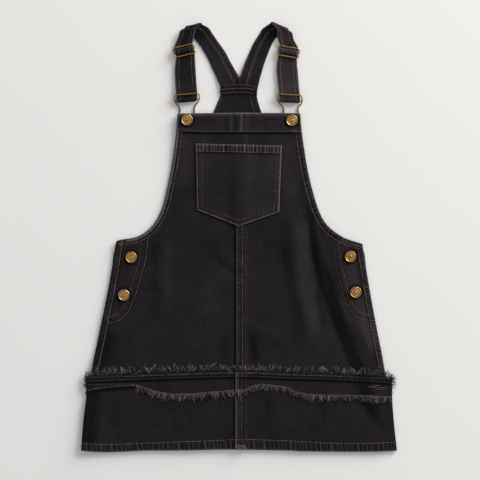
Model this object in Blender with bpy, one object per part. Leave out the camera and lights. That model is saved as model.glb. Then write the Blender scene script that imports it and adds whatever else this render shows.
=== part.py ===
"""A black denim pinafore dress laid flat on its back, its shoulder straps folded over to the bib.

Metres, +Z up. The garment lies along the XY plane: +Y runs up to the straps, +X is the viewer's right,
and the back's underside lies at z = 0. Every size and place below is in millimetres, and MM turns it into
metres. The layers of cloth are stacked from the floor: back, front, then what is sewn on the front.
"""

import math
from typing import NamedTuple

import bmesh
import bpy
import numpy as np

MM = 0.001

# Cloth and how its layers stack
CLOTH = 1.2  # one wall of denim
GAP = 0.3  # clearance between two pieces that lie on each other or meet at a seam
LAYER = CLOTH + GAP
SEAM_GAP = 0.8  # between skirt and hem panel, whose curved edges meet under the band
FRONT_REST = 2 * LAYER  # underside of the front over the body of the garment
ON_FRONT = 3 * LAYER  # underside of what is sewn on the front
EDGE_DROP = LAYER  # how far the front comes down to the back along the side seams
EDGE_REACH = 30.0  # width of the strip in which it comes down
EDGE_START = 0.0  # it begins to come down below this level
BAND_FLAT = (-200.0, -276.0)  # under the band, between these levels, it stays up

# Centre front: the right half's felled edge lies over the left half
LAP_LEFT, LAP_RIGHT, LAP_RAMP = -4.8, 9.2, 5.3
LEFT_HALF_END = 8.0  # the left half runs on under the lap
BUTTED_END = -5.3  # where a left-hand piece that isn't lapped stops

# Levels down the garment
BIB_TOP, BIB_PANEL_TOP, BIB_BAND_FOOT = 206.5, 203.0, 174.6
PLACKET_TOP = -10.0
FOLDS_END = -198.0  # the skirt lies smooth below this, where the band is sewn
BACK_STEP_TOP, BACK_STEP_FOOT = -203.0, -211.0  # the back steps up over its band between these
BAND_CENTRE = -227.0  # the band's sewn line at the centre front
SEAM_CENTRE = BAND_CENTRE - 11.0  # where skirt and hem panel meet there, under the band
SEAM_LEVEL = -240.0  # the seam in the tables of outlines, from which the panels' edges are moved onto it
ARCH_START, ARCH_REACH = -200.0, 38.0  # the skirt's rows begin to follow the band's arch here, over this
HEM_ARCH_END = -292.0  # the hem panel's rows follow the arch down to here
BACK_HEM_REST = -270.5  # the back's hem panel lies on the floor below this
HEM_FOOT, HEM_SWAY = -353.5, 3.3  # hem at the centre, and how much lower it hangs at the sides
SWAY_REACH = 200.0  # distance from the centre at which it hangs lowest
HEM_TURN = 13.5  # depth of the turned hem
YOKE_TOP = 250.0
BACK_INSET = 1.0  # the back's hem panel lies this far inside the front's


class Point(NamedTuple):
    """A place in plan on an outline."""

    x: float
    y: float


ARMHOLE = {
    "left": (
        Point(-102.1, BIB_PANEL_TOP),
        Point(-107.0, 154.8),
        Point(-115.7, 101.5),
        Point(-128.3, 48.2),
        Point(-145.0, 18.5),
        Point(-168.3, 1.5),
        Point(-200.5, -5.0),
        Point(-205.3, PLACKET_TOP),
    ),
    "right": (
        Point(101.5, BIB_PANEL_TOP),
        Point(107.2, 154.8),
        Point(116.5, 101.5),
        Point(131.3, 48.2),
        Point(146.5, 20.5),
        Point(170.3, 1.5),
        Point(191.3, -6.8),
        Point(205.3, PLACKET_TOP - 1.0),
    ),
}
SIDE = {
    "left": (
        Point(-205.3, PLACKET_TOP),
        Point(-215.2, -71.8),
        Point(-228.5, -138.5),
        Point(-247.0, -226.0),
        Point(-249.5, SEAM_LEVEL),
    ),
    "right": (
        Point(205.3, PLACKET_TOP - 1.0),
        Point(214.8, -71.8),
        Point(226.8, -138.5),
        Point(244.0, -226.0),
        Point(247.0, SEAM_LEVEL),
    ),
}
HEM_SIDE = {
    "left": (Point(-256.2, -226.0), Point(-256.0, -262.0), Point(-259.7, -305.0), Point(-263.2, -357.0)),
    "right": (Point(256.0, -226.0), Point(254.8, -262.0), Point(257.7, -305.0), Point(263.2, -357.0)),
}
# The back lies inside the front's outline, and its yoke narrows up to the straps
BACK_EDGE = (
    (Point(-30.0, YOKE_TOP), Point(29.4, YOKE_TOP)),
    (Point(-31.3, 237.0), Point(29.3, 237.0)),
    (Point(-42.8, 208.0), Point(37.5, 208.0)),
    (Point(-70.0, 140.0), Point(66.0, 140.0)),
    (Point(-98.0, 70.0), Point(96.0, 70.0)),
    (Point(-132.0, 20.0), Point(132.0, 20.0)),
    (Point(-160.0, 0.0), Point(160.0, 0.0)),
    (Point(-203.5, -14.0), Point(203.5, -14.0)),
    (Point(-214.0, -71.8), Point(213.6, -71.8)),
    (Point(-227.3, -138.5), Point(225.6, -138.5)),
    (Point(-240.0, -200.0), Point(237.6, -200.0)),
    (Point(-248.3, SEAM_LEVEL), Point(245.8, SEAM_LEVEL)),
)
# Sewn line of the skirt band, from side to side
BAND_LINE = (
    Point(-257.0, -235.5),
    Point(-118.0, -230.2),
    Point(0.0, BAND_CENTRE),
    Point(84.0, -230.0),
    Point(165.0, -232.5),
    Point(257.0, -238.0),
)
# Raw lower edge of the band, which waves; the back's is plainer
BAND_FOOT = (
    Point(-257.0, -257.5),
    Point(-227.0, -252.0),
    Point(-174.0, -248.0),
    Point(-150.0, -253.0),
    Point(-125.0, -258.5),
    Point(-64.0, -260.5),
    Point(-6.0, -256.0),
    Point(8.0, -255.5),
    Point(33.0, -246.5),
    Point(57.0, -248.0),
    Point(97.0, -259.5),
    Point(140.0, -264.0),
    Point(219.0, -265.5),
    Point(257.0, -268.0),
)
BACK_BAND_FOOT = (
    Point(-257.0, -257.5),
    Point(-130.0, -255.0),
    Point(0.0, -257.0),
    Point(130.0, -254.0),
    Point(257.0, -258.0),
)
# How far the upper fray stands up from the sewn line
UPPER_FRAY = (
    Point(-257.0, 8.0),
    Point(-238.0, 15.0),
    Point(0.0, 13.5),
    Point(165.0, 13.5),
    Point(257.0, 9.0),
)
LOWER_FRAY = 10.0
LOWER_FRAY_START = -172.0  # the front's lower fray starts here; left of it the edge is tacked down
FRAY_SIDE = 256.0  # the frays stop short of the band's ends

# Bib pocket, five-sided
POCKET_TOP_LEFT, POCKET_TOP_RIGHT = Point(-72.5, 155.7), Point(71.2, 152.3)
POCKET_FOOT_LEFT, POCKET_POINT, POCKET_FOOT_RIGHT = Point(-70.3, 45.2), Point(-0.3, 17.7), Point(66.7, 41.5)


class Fold(NamedTuple):
    """A soft ridge (height > 0) or trough (height < 0) of the skirt, from its head down to its foot."""

    head_x: float
    head_y: float
    foot_x: float
    foot_y: float
    half_width: float
    height: float


FOLDS = (
    Fold(99.0, 40.0, 134.0, -175.0, 24.0, 2.0),  # main ridge, down from beside the pocket
    Fold(119.0, 40.0, 204.0, FOLDS_END, 20.0, -1.3),  # trough outside it
    Fold(130.0, 14.0, 152.0, -90.0, 13.0, 1.3),  # short ridge beside the placket
    Fold(74.0, -18.0, 100.0, -150.0, 17.0, -0.9),
    Fold(-118.0, 8.0, -126.0, -150.0, 26.0, 1.2),
    Fold(-66.0, -30.0, -70.0, -175.0, 30.0, 0.8),
)

# Straps: a folded band of cloth
STRAP_WALL = 1.8
STRAP_HALF_WIDTH = 17.4
FLAT, DOUBLED = STRAP_WALL / 2, 1.5 * STRAP_WALL + GAP  # middle of the cloth, on the floor or on its tail
HOOK_TURN = 5.3  # middle of the cloth's upper side where it turns round the hook's lower bar
SHOULDER_RADIUS = 4.0
RUNG_STEPS, TURN_STEPS = 2, 7


class Rung(NamedTuple):
    """One cross line of a strap: its two edges in plan, and the height of the middle of the cloth."""

    left_x: float
    left_y: float
    right_x: float
    right_y: float
    height: float


class Strap(NamedTuple):
    """The rungs of one strap, from the yoke to the shoulder fold, and from there to the hook."""

    back_run: tuple
    shoulder_out: Point  # plan direction in which the shoulder fold bulges
    to_slider: tuple
    to_hook: tuple
    tail_share: float  # how far the tail comes back up under the front run, of the way to the slider


STRAPS = {
    "left": Strap(
        back_run=(
            Rung(-24.5, 236.0, 12.0, 243.0, 2.4),
            Rung(-31.7, 251.5, 0.5, 266.0, 2.4),
            Rung(-42.3, 275.0, -11.8, 287.5, FLAT),
            Rung(-52.8, 298.0, -23.3, 309.0, FLAT),
            Rung(-62.8, 315.0, -36.0, 327.0, FLAT),
            Rung(-71.5, 326.5, -44.5, 339.5, FLAT),
            Rung(-80.5, 335.0, -53.3, 347.3, FLAT),
            Rung(-89.5, 344.2, -63.5, 352.2, FLAT),
        ),
        shoulder_out=Point(-0.29, 0.957),
        to_slider=(
            Rung(-97.0, 338.0, -68.0, 345.0, 7.6),
            Rung(-101.5, 330.5, -72.5, 335.5, 5.0),
        ),
        to_hook=(
            Rung(-107.0, 280.0, -72.8, 282.0, DOUBLED),
            Rung(-106.3, 258.0, -71.0, 258.5, DOUBLED),
            Rung(-105.0, 238.0, -69.6, 239.0, 4.5),
        ),
        tail_share=0.8,
    ),
    "right": Strap(
        back_run=(
            Rung(-3.5, 243.0, 28.8, 235.5, 4.5),
            Rung(1.0, 264.5, 32.5, 254.5, 4.5),
            Rung(8.3, 286.5, 38.3, 276.5, 2.2),
            Rung(15.8, 304.8, 44.2, 294.8, FLAT),
            Rung(24.2, 323.2, 51.3, 313.2, FLAT),
            Rung(32.5, 336.5, 57.5, 326.5, FLAT),
            Rung(41.0, 345.7, 65.0, 334.5, FLAT),
            Rung(53.0, 353.2, 80.0, 342.5, FLAT),
        ),
        shoulder_out=Point(0.357, 0.934),
        to_slider=(
            Rung(61.2, 344.5, 87.8, 336.0, 7.6),
            Rung(64.5, 331.5, 91.7, 326.0, 5.0),
        ),
        to_hook=(
            Rung(62.5, 281.0, 96.7, 281.0, DOUBLED),
            Rung(64.2, 258.0, 98.5, 258.0, DOUBLED),
            Rung(66.3, 238.5, 100.8, 238.0, 4.5),
        ),
        tail_share=0.8,
    ),
}

CROSSBAR_SHARE = 0.95  # a crossbar's radius, of its ring's wire

# Wire sliders
SLIDER_WIRE = 1.1  # radius
SLIDER_HALF_WIDTH, SLIDER_HALF_DEPTH, SLIDER_CORNER = 17.4, 7.8, 3.0
SLIDER_STRAP = 15.9  # half width of the strap inside it
SLIDER_HEIGHT = DOUBLED + STRAP_WALL / 2 + GAP + SLIDER_WIRE  # its outer bars lie on the strap
SLIDER_DIP = 1.1  # its middle bar lies this much lower
SLIDER_MIDDLE = 1.6  # half length of the side wires' low stretch, where the middle bar joins them
# Centre and turn in degrees
SLIDERS = {"left": (Point(-91.2, 310.6), 13.0), "right": (Point(82.0, 308.3), -9.5)}
# The strap dives under the slider's outer bars and rides over its middle bar: distance from there, and height
HUMP = ((8.5, DOUBLED), (6.0, DOUBLED), (2.6, 6.3), (0.0, 6.5), (-2.6, 6.3), (-6.0, DOUBLED), (-8.5, DOUBLED))

# Wire hooks, hung on the strap ends
HOOK_WIRE = 1.0  # radius
HOOK_BAR_HEIGHT = 7.0
HOOK_LEAN = {"left": -0.5, "right": -3.8}  # how far its bar stands aside of the button
HOOK_CROSSBAR_HEIGHT = (HOOK_TURN + FLAT) / 2
HOOK_CROSSBAR = Point(20.4, 33.0)  # half width, and distance above the button's centre


class HookStation(NamedTuple):
    """A place on one side of a hook's wire, measured from the button's centre."""

    half_width: float
    up: float
    height: float


HOOK_SIDE = (
    HookStation(18.0, 42.6, HOOK_BAR_HEIGHT),
    HookStation(19.9, 40.6, HOOK_BAR_HEIGHT - 0.6),
    HookStation(20.4, 37.0, 4.8),
    HookStation(HOOK_CROSSBAR.x, HOOK_CROSSBAR.y, HOOK_CROSSBAR_HEIGHT),
    HookStation(19.4, 28.6, 2.2),
    HookStation(16.0, 24.2, 1.6),
    HookStation(12.6, 20.6, 1.3),
    HookStation(12.0, 14.0, 1.2),
    HookStation(12.6, 6.0, 1.2),
)
HOOK_LOOP_RADIUS, HOOK_LOOP_HEIGHT = 12.8, 1.2

# Tack buttons: a domed head on a short stem
BUTTON_RADIUS, BUTTON_HEAD, BUTTON_STEM_RADIUS, BUTTON_STEM = 9.8, 3.0, 4.2, 1.3
BUTTON_SIDES = 20
BUTTONS = {
    "button_bib_left": (Point(-86.5, 195.3), ON_FRONT + LAYER),
    "button_bib_right": (Point(87.8, 194.3), ON_FRONT + LAYER),
    "button_side_left_upper": (Point(-179.3, -33.2), ON_FRONT),
    "button_side_left_lower": (Point(-191.7, -96.3), ON_FRONT),
    "button_side_right_upper": (Point(187.0, -32.7), ON_FRONT),
    "button_side_right_lower": (Point(195.3, -91.7), ON_FRONT),
}

COLOURS = {  # base colour, roughness, metallic
    "denim": ((0.017, 0.016, 0.018, 1.0), 0.85, 0.0),
    "fray": ((0.14, 0.13, 0.15, 1.0), 0.95, 0.0),
    "brass": ((0.52, 0.36, 0.16, 1.0), 0.35, 1.0),
}


# ---- Helpers ----


def clear_scene():
    """Removes whatever the startup scene holds."""
    for obj in list(bpy.data.objects):
        bpy.data.objects.remove(obj)


def material(name):
    """The plain material of that name, made once."""
    found = bpy.data.materials.get(name)
    if found:
        return found
    made = bpy.data.materials.new(name)
    made.use_nodes = True
    shader = made.node_tree.nodes["Principled BSDF"]
    colour, roughness, metallic = COLOURS[name]
    shader.inputs["Base Color"].default_value = colour
    shader.inputs["Roughness"].default_value = roughness
    shader.inputs["Metallic"].default_value = metallic
    return made


def add_object(name, mesh, finish):
    """An object of this mesh, with one material."""
    mesh.materials.append(material(finish))
    obj = bpy.data.objects.new(name, mesh)
    bpy.context.scene.collection.objects.link(obj)
    return obj


def smooth(value):
    """0 below 0, 1 above 1, and a soft S between."""
    value = np.clip(value, 0.0, 1.0)
    return value * value * (3 - 2 * value)


def through(points, steps):
    """A Catmull-Rom curve through the rows of an array, with that many steps in each span."""
    points = np.asarray(points, float)
    padded = np.vstack([2 * points[0] - points[1], points, 2 * points[-1] - points[-2]])
    rows = []
    for i in range(1, len(padded) - 2):
        a, b, c, d = padded[i - 1 : i + 3]
        for t in np.arange(steps) / steps:
            bend, twist = 2 * a - 5 * b + 4 * c - d, 3 * b - a - 3 * c + d
            rows.append(0.5 * (2 * b + (c - a) * t + bend * t**2 + twist * t**3))
    return np.array(rows + [points[-1]])


def along(line, x):
    """The y of a curve through points listed from left to right, at each x."""
    curve = through(line, 8)
    return np.interp(x, curve[:, 0], curve[:, 1])


def wall(name, x, y, underside, top, finish="denim"):
    """A sheet of cloth from grids of its plan and of its two faces' heights, closed round its rim."""
    rows, columns = x.shape
    low = np.stack([x, y, underside], axis=-1).reshape(-1, 3)
    high = np.stack([x, y, top], axis=-1).reshape(-1, 3)
    points = np.vstack([low, high]) * MM
    over = rows * columns
    index = np.arange(over).reshape(rows, columns)
    faces = []
    for r in range(rows - 1):
        for c in range(columns - 1):
            a, b, d, e = index[r, c], index[r, c + 1], index[r + 1, c], index[r + 1, c + 1]
            faces.append((a, b, e, d))
            faces.append((over + a, over + d, over + e, over + b))
    rim = [*index[0, :-1], *index[:-1, -1], *index[-1, :0:-1], *index[:0:-1, 0]]
    for a, b in zip(rim, rim[1:] + rim[:1]):
        faces.append((b, a, over + a, over + b))
    mesh = bpy.data.meshes.new(name)
    mesh.from_pydata(points.tolist(), [], [tuple(int(i) for i in face) for face in faces])
    outward(mesh)
    return add_object(name, mesh, finish)


def outward(mesh):
    """Turns a closed mesh right side out, if it is inside out."""
    shape = bmesh.new()
    shape.from_mesh(mesh)
    if shape.calc_volume(signed=True) < 0:
        bmesh.ops.reverse_faces(shape, faces=shape.faces)
        shape.to_mesh(mesh)
    shape.free()


# ---- How high the layers lie ----


def lap_rise(x):
    """1 over the felled lap at the centre front, falling to 0 to its right."""
    return np.interp(x, [LAP_RIGHT, LAP_RIGHT + LAP_RAMP], [1.0, 0.0])


def over_lap(x):
    """The rise of a piece that crosses the centre front on top of the lap."""
    return LAYER * lap_rise(x) * np.interp(x, [LAP_LEFT - LAP_RAMP, LAP_LEFT - 0.6], [0.0, 1.0])


def band_arch(x):
    """How far from its height at the centre the band's sewn line runs, at each x."""
    return along(BAND_LINE, x) - BAND_CENTRE


def hem_sway(x):
    """How much lower than at the centre the hem hangs, at each x."""
    return HEM_SWAY * np.sin(np.clip(np.abs(x) / SWAY_REACH, 0, 1) * math.pi / 2) ** 2


def folds(x, y):
    """The height that the skirt's soft folds add."""
    total = np.zeros_like(x)
    for fold in FOLDS:
        down = (fold.head_y - y) / (fold.head_y - fold.foot_y)
        centre = fold.head_x + (fold.foot_x - fold.head_x) * down
        across = np.clip(np.abs(x - centre) / fold.half_width, 0, 1)
        lengthwise = smooth(down / 0.25) * smooth((1 - down) / 0.2)
        total += fold.height * lengthwise * np.cos(across * math.pi / 2) ** 2
    return total


def edge_drop(x, y, edge_x):
    """How far the front comes down towards the back near its side edge."""
    skirt = smooth((EDGE_START - y) / 30.0) * smooth((y - BAND_FLAT[0]) / 22.0)
    hem = smooth((BAND_FLAT[1] - y) / 16.0)
    inward = np.abs(edge_x - x)
    return EDGE_DROP * (skirt + hem) * np.clip(1 - inward / EDGE_REACH, 0, 1)


# ---- Panels ----


def half_columns(side, edge_x, count):
    """The x of each column of a front half: the centre front's steps, then even ones out to the side edge."""
    inner = [LEFT_HALF_END, BUTTED_END] if side == "left" else [LAP_LEFT, LAP_RIGHT, LAP_RIGHT + LAP_RAMP]
    shares = np.linspace(0, 1, count + 1)[1:]
    outer = inner[-1] + (edge_x - inner[-1]) * shares
    return np.hstack([np.repeat([inner], len(edge_x), axis=0), outer])


def front_panel(side):
    """One half of the front, bib and skirt in one, from the bib's top to the seam under the band."""
    armhole = through(ARMHOLE[side], 2)
    flank = through(SIDE[side], 3)[1:]
    edge = np.vstack([armhole, flank])
    edge_x, edge_y = edge[:, :1], edge[:, 1:]
    x = half_columns(side, edge_x, 11)
    arch = band_arch(x) * smooth((ARCH_START - edge_y) / ARCH_REACH)
    y = edge_y + arch + np.where(edge_y == SEAM_LEVEL, SEAM_CENTRE - SEAM_LEVEL, 0.0)
    underside = FRONT_REST + folds(x, y) - edge_drop(x, y, edge_x)
    underside = np.maximum(underside, LAYER)
    if side == "right":
        underside = underside + LAYER * lap_rise(x)
    return wall(f"front_{side}", x, y, underside, underside + CLOTH)


def front_hem(side):
    """One half of the front hem panel, two walls thick where its hem is turned up."""
    edge = through(HEM_SIDE[side], 4)
    turn = HEM_FOOT + HEM_TURN
    level = np.array([[SEAM_LEVEL, -262.0, -276.0, HEM_ARCH_END, -316.0, turn + 1.5, turn - 1.0, HEM_FOOT]]).T
    edge_x = np.interp(-level, -edge[:, 1], edge[:, 0])
    x = half_columns(side, edge_x, 8)
    upper = smooth((level - HEM_ARCH_END) / (SEAM_LEVEL - HEM_ARCH_END))
    to_seam = SEAM_CENTRE - SEAM_GAP + band_arch(x) - SEAM_LEVEL
    y = level + to_seam * upper - hem_sway(x) * (1 - upper)
    top = FRONT_REST + CLOTH - edge_drop(x, y, edge_x)
    if side == "right":
        top = top + LAYER * lap_rise(x)
    turned = (level < turn) & ((side == "left") | (x > LAP_RIGHT + 1.0))
    underside = np.where(turned, LAYER, top - CLOTH)
    return wall(f"hem_front_{side}", x, y, underside, top)


def bib_band():
    """The band along the bib's top, over the centre seam."""
    columns = np.array([-1.0, -0.6, -0.25])
    ramps = [LAP_LEFT - LAP_RAMP, LAP_LEFT - 0.6, LAP_RIGHT, LAP_RIGHT + LAP_RAMP]
    rows = ((BIB_TOP, -102.3, 101.7), (192.0, -103.4, 102.5), (BIB_BAND_FOOT, -105.0, 103.9))
    x = np.array([[*(-left * columns), *ramps, *(-right * columns[::-1])] for _, left, right in rows])
    y = np.array([[level] * x.shape[1] for level, _, _ in rows])
    underside = ON_FRONT + over_lap(x)
    return wall("bib_band", x, y, underside, underside + CLOTH)


def bib_pocket():
    """The patch pocket: straight mouth, slightly tapered sides and a pointed foot."""
    ramps = [LAP_LEFT - LAP_RAMP, LAP_LEFT - 0.6, LAP_RIGHT, LAP_RIGHT + LAP_RAMP]
    top_x = np.array([POCKET_TOP_LEFT.x, -48.0, -24.0, *ramps, 32.0, 52.0, POCKET_TOP_RIGHT.x])
    share = np.linspace(0, 1, 5)[:, None]
    top_y = np.interp(top_x, [POCKET_TOP_LEFT.x, POCKET_TOP_RIGHT.x], [POCKET_TOP_LEFT.y, POCKET_TOP_RIGHT.y])
    taper = np.interp(top_x, [POCKET_TOP_LEFT.x, -24.0, 32.0, POCKET_TOP_RIGHT.x], [2.2, 0.0, 0.0, -4.5])
    foot_x = top_x + taper
    foot = (POCKET_FOOT_LEFT, POCKET_POINT, POCKET_FOOT_RIGHT)
    foot_y = np.interp(foot_x, [p.x for p in foot], [p.y for p in foot])
    x = top_x + taper * share
    y = top_y + (foot_y - top_y) * share
    underside = ON_FRONT + over_lap(x)
    return wall("bib_pocket", x, y, underside, underside + CLOTH)


def strip(name, x, head_y, foot_y, underside, finish="denim", rows=3):
    """A narrow piece that runs across the garment between two lines."""
    share = np.linspace(0, 1, rows)[:, None]
    y = head_y + (foot_y - head_y) * share
    x = np.repeat(x[None], rows, axis=0)
    underside = np.repeat(np.broadcast_to(underside, x.shape[1:])[None], rows, axis=0)
    return wall(name, x, y, underside, underside + CLOTH, finish)


def sewn_strips(label, x, foot, rise, lower_fray):
    """A stretch of the skirt band, and the frays along its two edges, on the band's own points."""
    line, foot = along(BAND_LINE, x), along(foot, x)
    strip(f"band_{label}", x, line, foot, rise)
    frayed = np.abs(x) < FRAY_SIDE + 1
    head = line + along(UPPER_FRAY, x)
    strip(f"fringe_upper_{label}", x[frayed], head[frayed], line[frayed] + GAP, rise[frayed], "fray", 2)
    frayed = frayed & (x > lower_fray)
    hang = foot[frayed] - GAP
    strip(f"fringe_lower_{label}", x[frayed], hang, hang - LOWER_FRAY, rise[frayed], "fray", 2)


def bands():
    """The skirt band: two halves on the front, which meet at the lap, and one length under the back."""
    x = np.append(np.linspace(-256.8, BUTTED_END - 12.0, 12), BUTTED_END)
    sewn_strips("front_left", x, BAND_FOOT, ON_FRONT + 0 * x, LOWER_FRAY_START)
    x = np.append([LAP_LEFT, LAP_RIGHT, LAP_RIGHT + LAP_RAMP], np.linspace(32.0, 256.0, 12))
    sewn_strips("front_right", x, BAND_FOOT, ON_FRONT + LAYER * lap_rise(x), LOWER_FRAY_START)
    x = np.linspace(-255.0, 255.0, 17)
    sewn_strips("back", x, BACK_BAND_FOOT, 0 * x, -FRAY_SIDE)


def back_panel():
    """The back with its yoke. Above its band it steps up, so that the band lies under it on the floor."""
    table = np.array(BACK_EDGE).reshape(len(BACK_EDGE), 4)
    upper = through(table[:-1], 2)
    first, last = table[-2:]
    lower = np.array([[BACK_STEP_TOP], [BACK_STEP_FOOT], [SEAM_CENTRE]])
    edges = np.vstack([upper, first + (last - first) * (first[1] - lower) / (first[1] - last[1])])
    x = edges[:, :1] + (edges[:, 2:3] - edges[:, :1]) * np.linspace(0, 1, 9)
    level = edges[:, 1:2] + 0 * x
    y = level + band_arch(x) * smooth((BACK_STEP_FOOT - level) / 20.0)
    underside = np.where(level <= BACK_STEP_FOOT + 0.01, LAYER, 0.0)
    return wall("back_panel", x, y, underside, underside + CLOTH)


def back_hem():
    """The back's hem panel. Its head lies over the back's band, and the rest on the floor."""
    level = np.array([[SEAM_LEVEL, BACK_HEM_REST, -278.0, -300.0, -327.0, HEM_FOOT]]).T
    edges = {side: through(HEM_SIDE[side], 4) for side in HEM_SIDE}
    left, right = (np.interp(-level, -edge[:, 1], edge[:, 0]) for edge in (edges["left"], edges["right"]))
    x = left + BACK_INSET + (right - left - 2 * BACK_INSET) * np.linspace(0, 1, 15)
    upper = smooth((level - BACK_HEM_REST) / (SEAM_LEVEL - BACK_HEM_REST))
    to_seam = SEAM_CENTRE - SEAM_GAP + band_arch(x) - SEAM_LEVEL
    y = level + to_seam * upper - hem_sway(x) * smooth((-300.0 - level) / 50.0)
    underside = np.where(level >= BACK_HEM_REST, LAYER, 0.0) + 0 * x
    wall("hem_back", x, y, underside, underside + CLOTH)


# ---- Straps ----


def climb(rungs, steps):
    """The rungs with steps between them: their plan on smooth curves, their heights eased."""
    table = np.array(rungs)
    plan = through(table[:, :4], steps)
    at = np.arange(len(plan)) / steps
    low = np.minimum(at.astype(int), len(table) - 2)
    height = table[low, 4] + (table[low + 1, 4] - table[low, 4]) * smooth(at - low)
    return np.column_stack([plan, height])


def half_turn(rung, out, end_height, steps):
    """Rungs that carry a strap round half a cylinder which lies along the rung, bulging towards out."""
    radius = (end_height - rung[4]) / 2
    rows = []
    for angle in np.linspace(0, math.pi, steps + 1):
        reach = abs(radius) * math.sin(angle)
        shift = [out.x * reach, out.y * reach] * 2
        rows.append([*(np.array(rung[:4]) + shift), rung[4] + radius * (1 - math.cos(angle))])
    return np.array(rows)


def hump(side):
    """The rungs of a strap inside its slider."""
    centre, turn = SLIDERS[side]
    across = np.array([math.cos(math.radians(turn)), math.sin(math.radians(turn))])
    up = np.array([-across[1], across[0]])
    rungs = []
    for distance, height in HUMP:
        middle = np.array(centre) + up * distance
        rungs.append(Rung(*(middle - across * SLIDER_STRAP), *(middle + across * SLIDER_STRAP), height))
    return rungs


def hook_foot(side):
    """The place of a hook's lower bar: its middle in plan."""
    button_centre, _ = BUTTONS[f"button_bib_{side}"]
    up = HOOK_CROSSBAR.y
    return Point(button_centre.x + HOOK_LEAN[side] * up / HOOK_SIDE[0].up, button_centre.y + up)


def strap(side):
    """One strap as a wall round its rungs: back run, shoulder fold, front run, turn round the hook, tail."""
    spec = STRAPS[side]
    back = climb(spec.back_run, RUNG_STEPS)
    shoulder = half_turn(back[-1], spec.shoulder_out, FLAT + 2 * SHOULDER_RADIUS, TURN_STEPS)
    foot = hook_foot(side)
    last = Rung(foot.x - STRAP_HALF_WIDTH, foot.y, foot.x + STRAP_HALF_WIDTH, foot.y, HOOK_TURN)
    front = climb([tuple(shoulder[-1]), *spec.to_slider, *hump(side), *spec.to_hook, last], RUNG_STEPS)
    turn = half_turn(front[-1], Point(0.0, -1.0), FLAT, TURN_STEPS - 1)
    below_slider = np.array([*front[-1 - RUNG_STEPS * (len(spec.to_hook) + 1)][:4], FLAT])
    shares = np.linspace(0, spec.tail_share, 4)[1:, None]
    tail = turn[-1] + (below_slider - turn[-1]) * shares
    rungs = np.vstack([back, shoulder[1:], front[1:], turn[1:], tail])
    left = np.column_stack([rungs[:, :2], rungs[:, 4]])
    right = np.column_stack([rungs[:, 2:4], rungs[:, 4]])
    tangent = np.gradient((left + right) / 2, axis=0)
    normal = np.cross(tangent, right - left)
    normal *= STRAP_WALL / 2 / np.linalg.norm(normal, axis=1)[:, None]
    rings = np.stack([left - normal, right - normal, right + normal, left + normal], axis=1)
    return loft(f"strap_{side}", rings)


def loft(name, rings, finish="denim"):
    """A closed solid through rings that all have the same number of points."""
    count, corners = rings.shape[:2]
    faces = [tuple(range(corners)), tuple((count - 1) * corners + i for i in range(corners))[::-1]]
    for r in range(count - 1):
        for i in range(corners):
            j = (i + 1) % corners
            a, b = r * corners, (r + 1) * corners
            faces.append((a + i, b + i, b + j, a + j))
    mesh = bpy.data.meshes.new(name)
    mesh.from_pydata((rings.reshape(-1, 3) * MM).tolist(), [], faces)
    outward(mesh)
    return add_object(name, mesh, finish)


# ---- Brass hardware ----


def wire_ring(name, points, radius):
    """A closed loop of round wire along the points, as a mesh object."""
    curve = bpy.data.curves.new(name + "_path", "CURVE")
    curve.dimensions = "3D"
    curve.bevel_depth = radius * MM
    curve.bevel_resolution = 2
    spline = curve.splines.new("POLY")
    spline.points.add(len(points) - 1)
    for place, point in zip(spline.points, points):
        place.co = (*(np.asarray(point) * MM), 1.0)
    spline.use_cyclic_u = True
    guide = bpy.data.objects.new(name + "_path", curve)
    bpy.context.scene.collection.objects.link(guide)
    bpy.context.view_layer.update()
    mesh = bpy.data.meshes.new_from_object(guide.evaluated_get(bpy.context.evaluated_depsgraph_get()))
    bpy.data.objects.remove(guide)
    outward(mesh)
    mesh.shade_smooth()
    return add_object(name, mesh, "brass")


def add_crossbar(ring, start, end, radius):
    """Joins a straight bar between two places on the ring to it."""
    start, end = np.asarray(start, float), np.asarray(end, float)
    length = np.linalg.norm(end - start)
    mesh = bpy.data.meshes.new(ring.name + "_crossbar")
    shape = bmesh.new()
    bmesh.ops.create_cone(
        shape, cap_ends=True, segments=10, radius1=radius * MM, radius2=radius * MM, depth=length * MM
    )
    shape.to_mesh(mesh)
    shape.free()
    bar = add_object(ring.name + "_crossbar", mesh, "brass")
    bar.location = (start + end) / 2 * MM
    aim = (end - start) / length
    bar.rotation_euler = (0.0, math.pi / 2, math.atan2(aim[1], aim[0]))
    bar.hide_render = True
    bar.display_type = "WIRE"
    union = ring.modifiers.new("Crossbar", "BOOLEAN")
    union.operation = "UNION"
    union.object = bar


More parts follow.
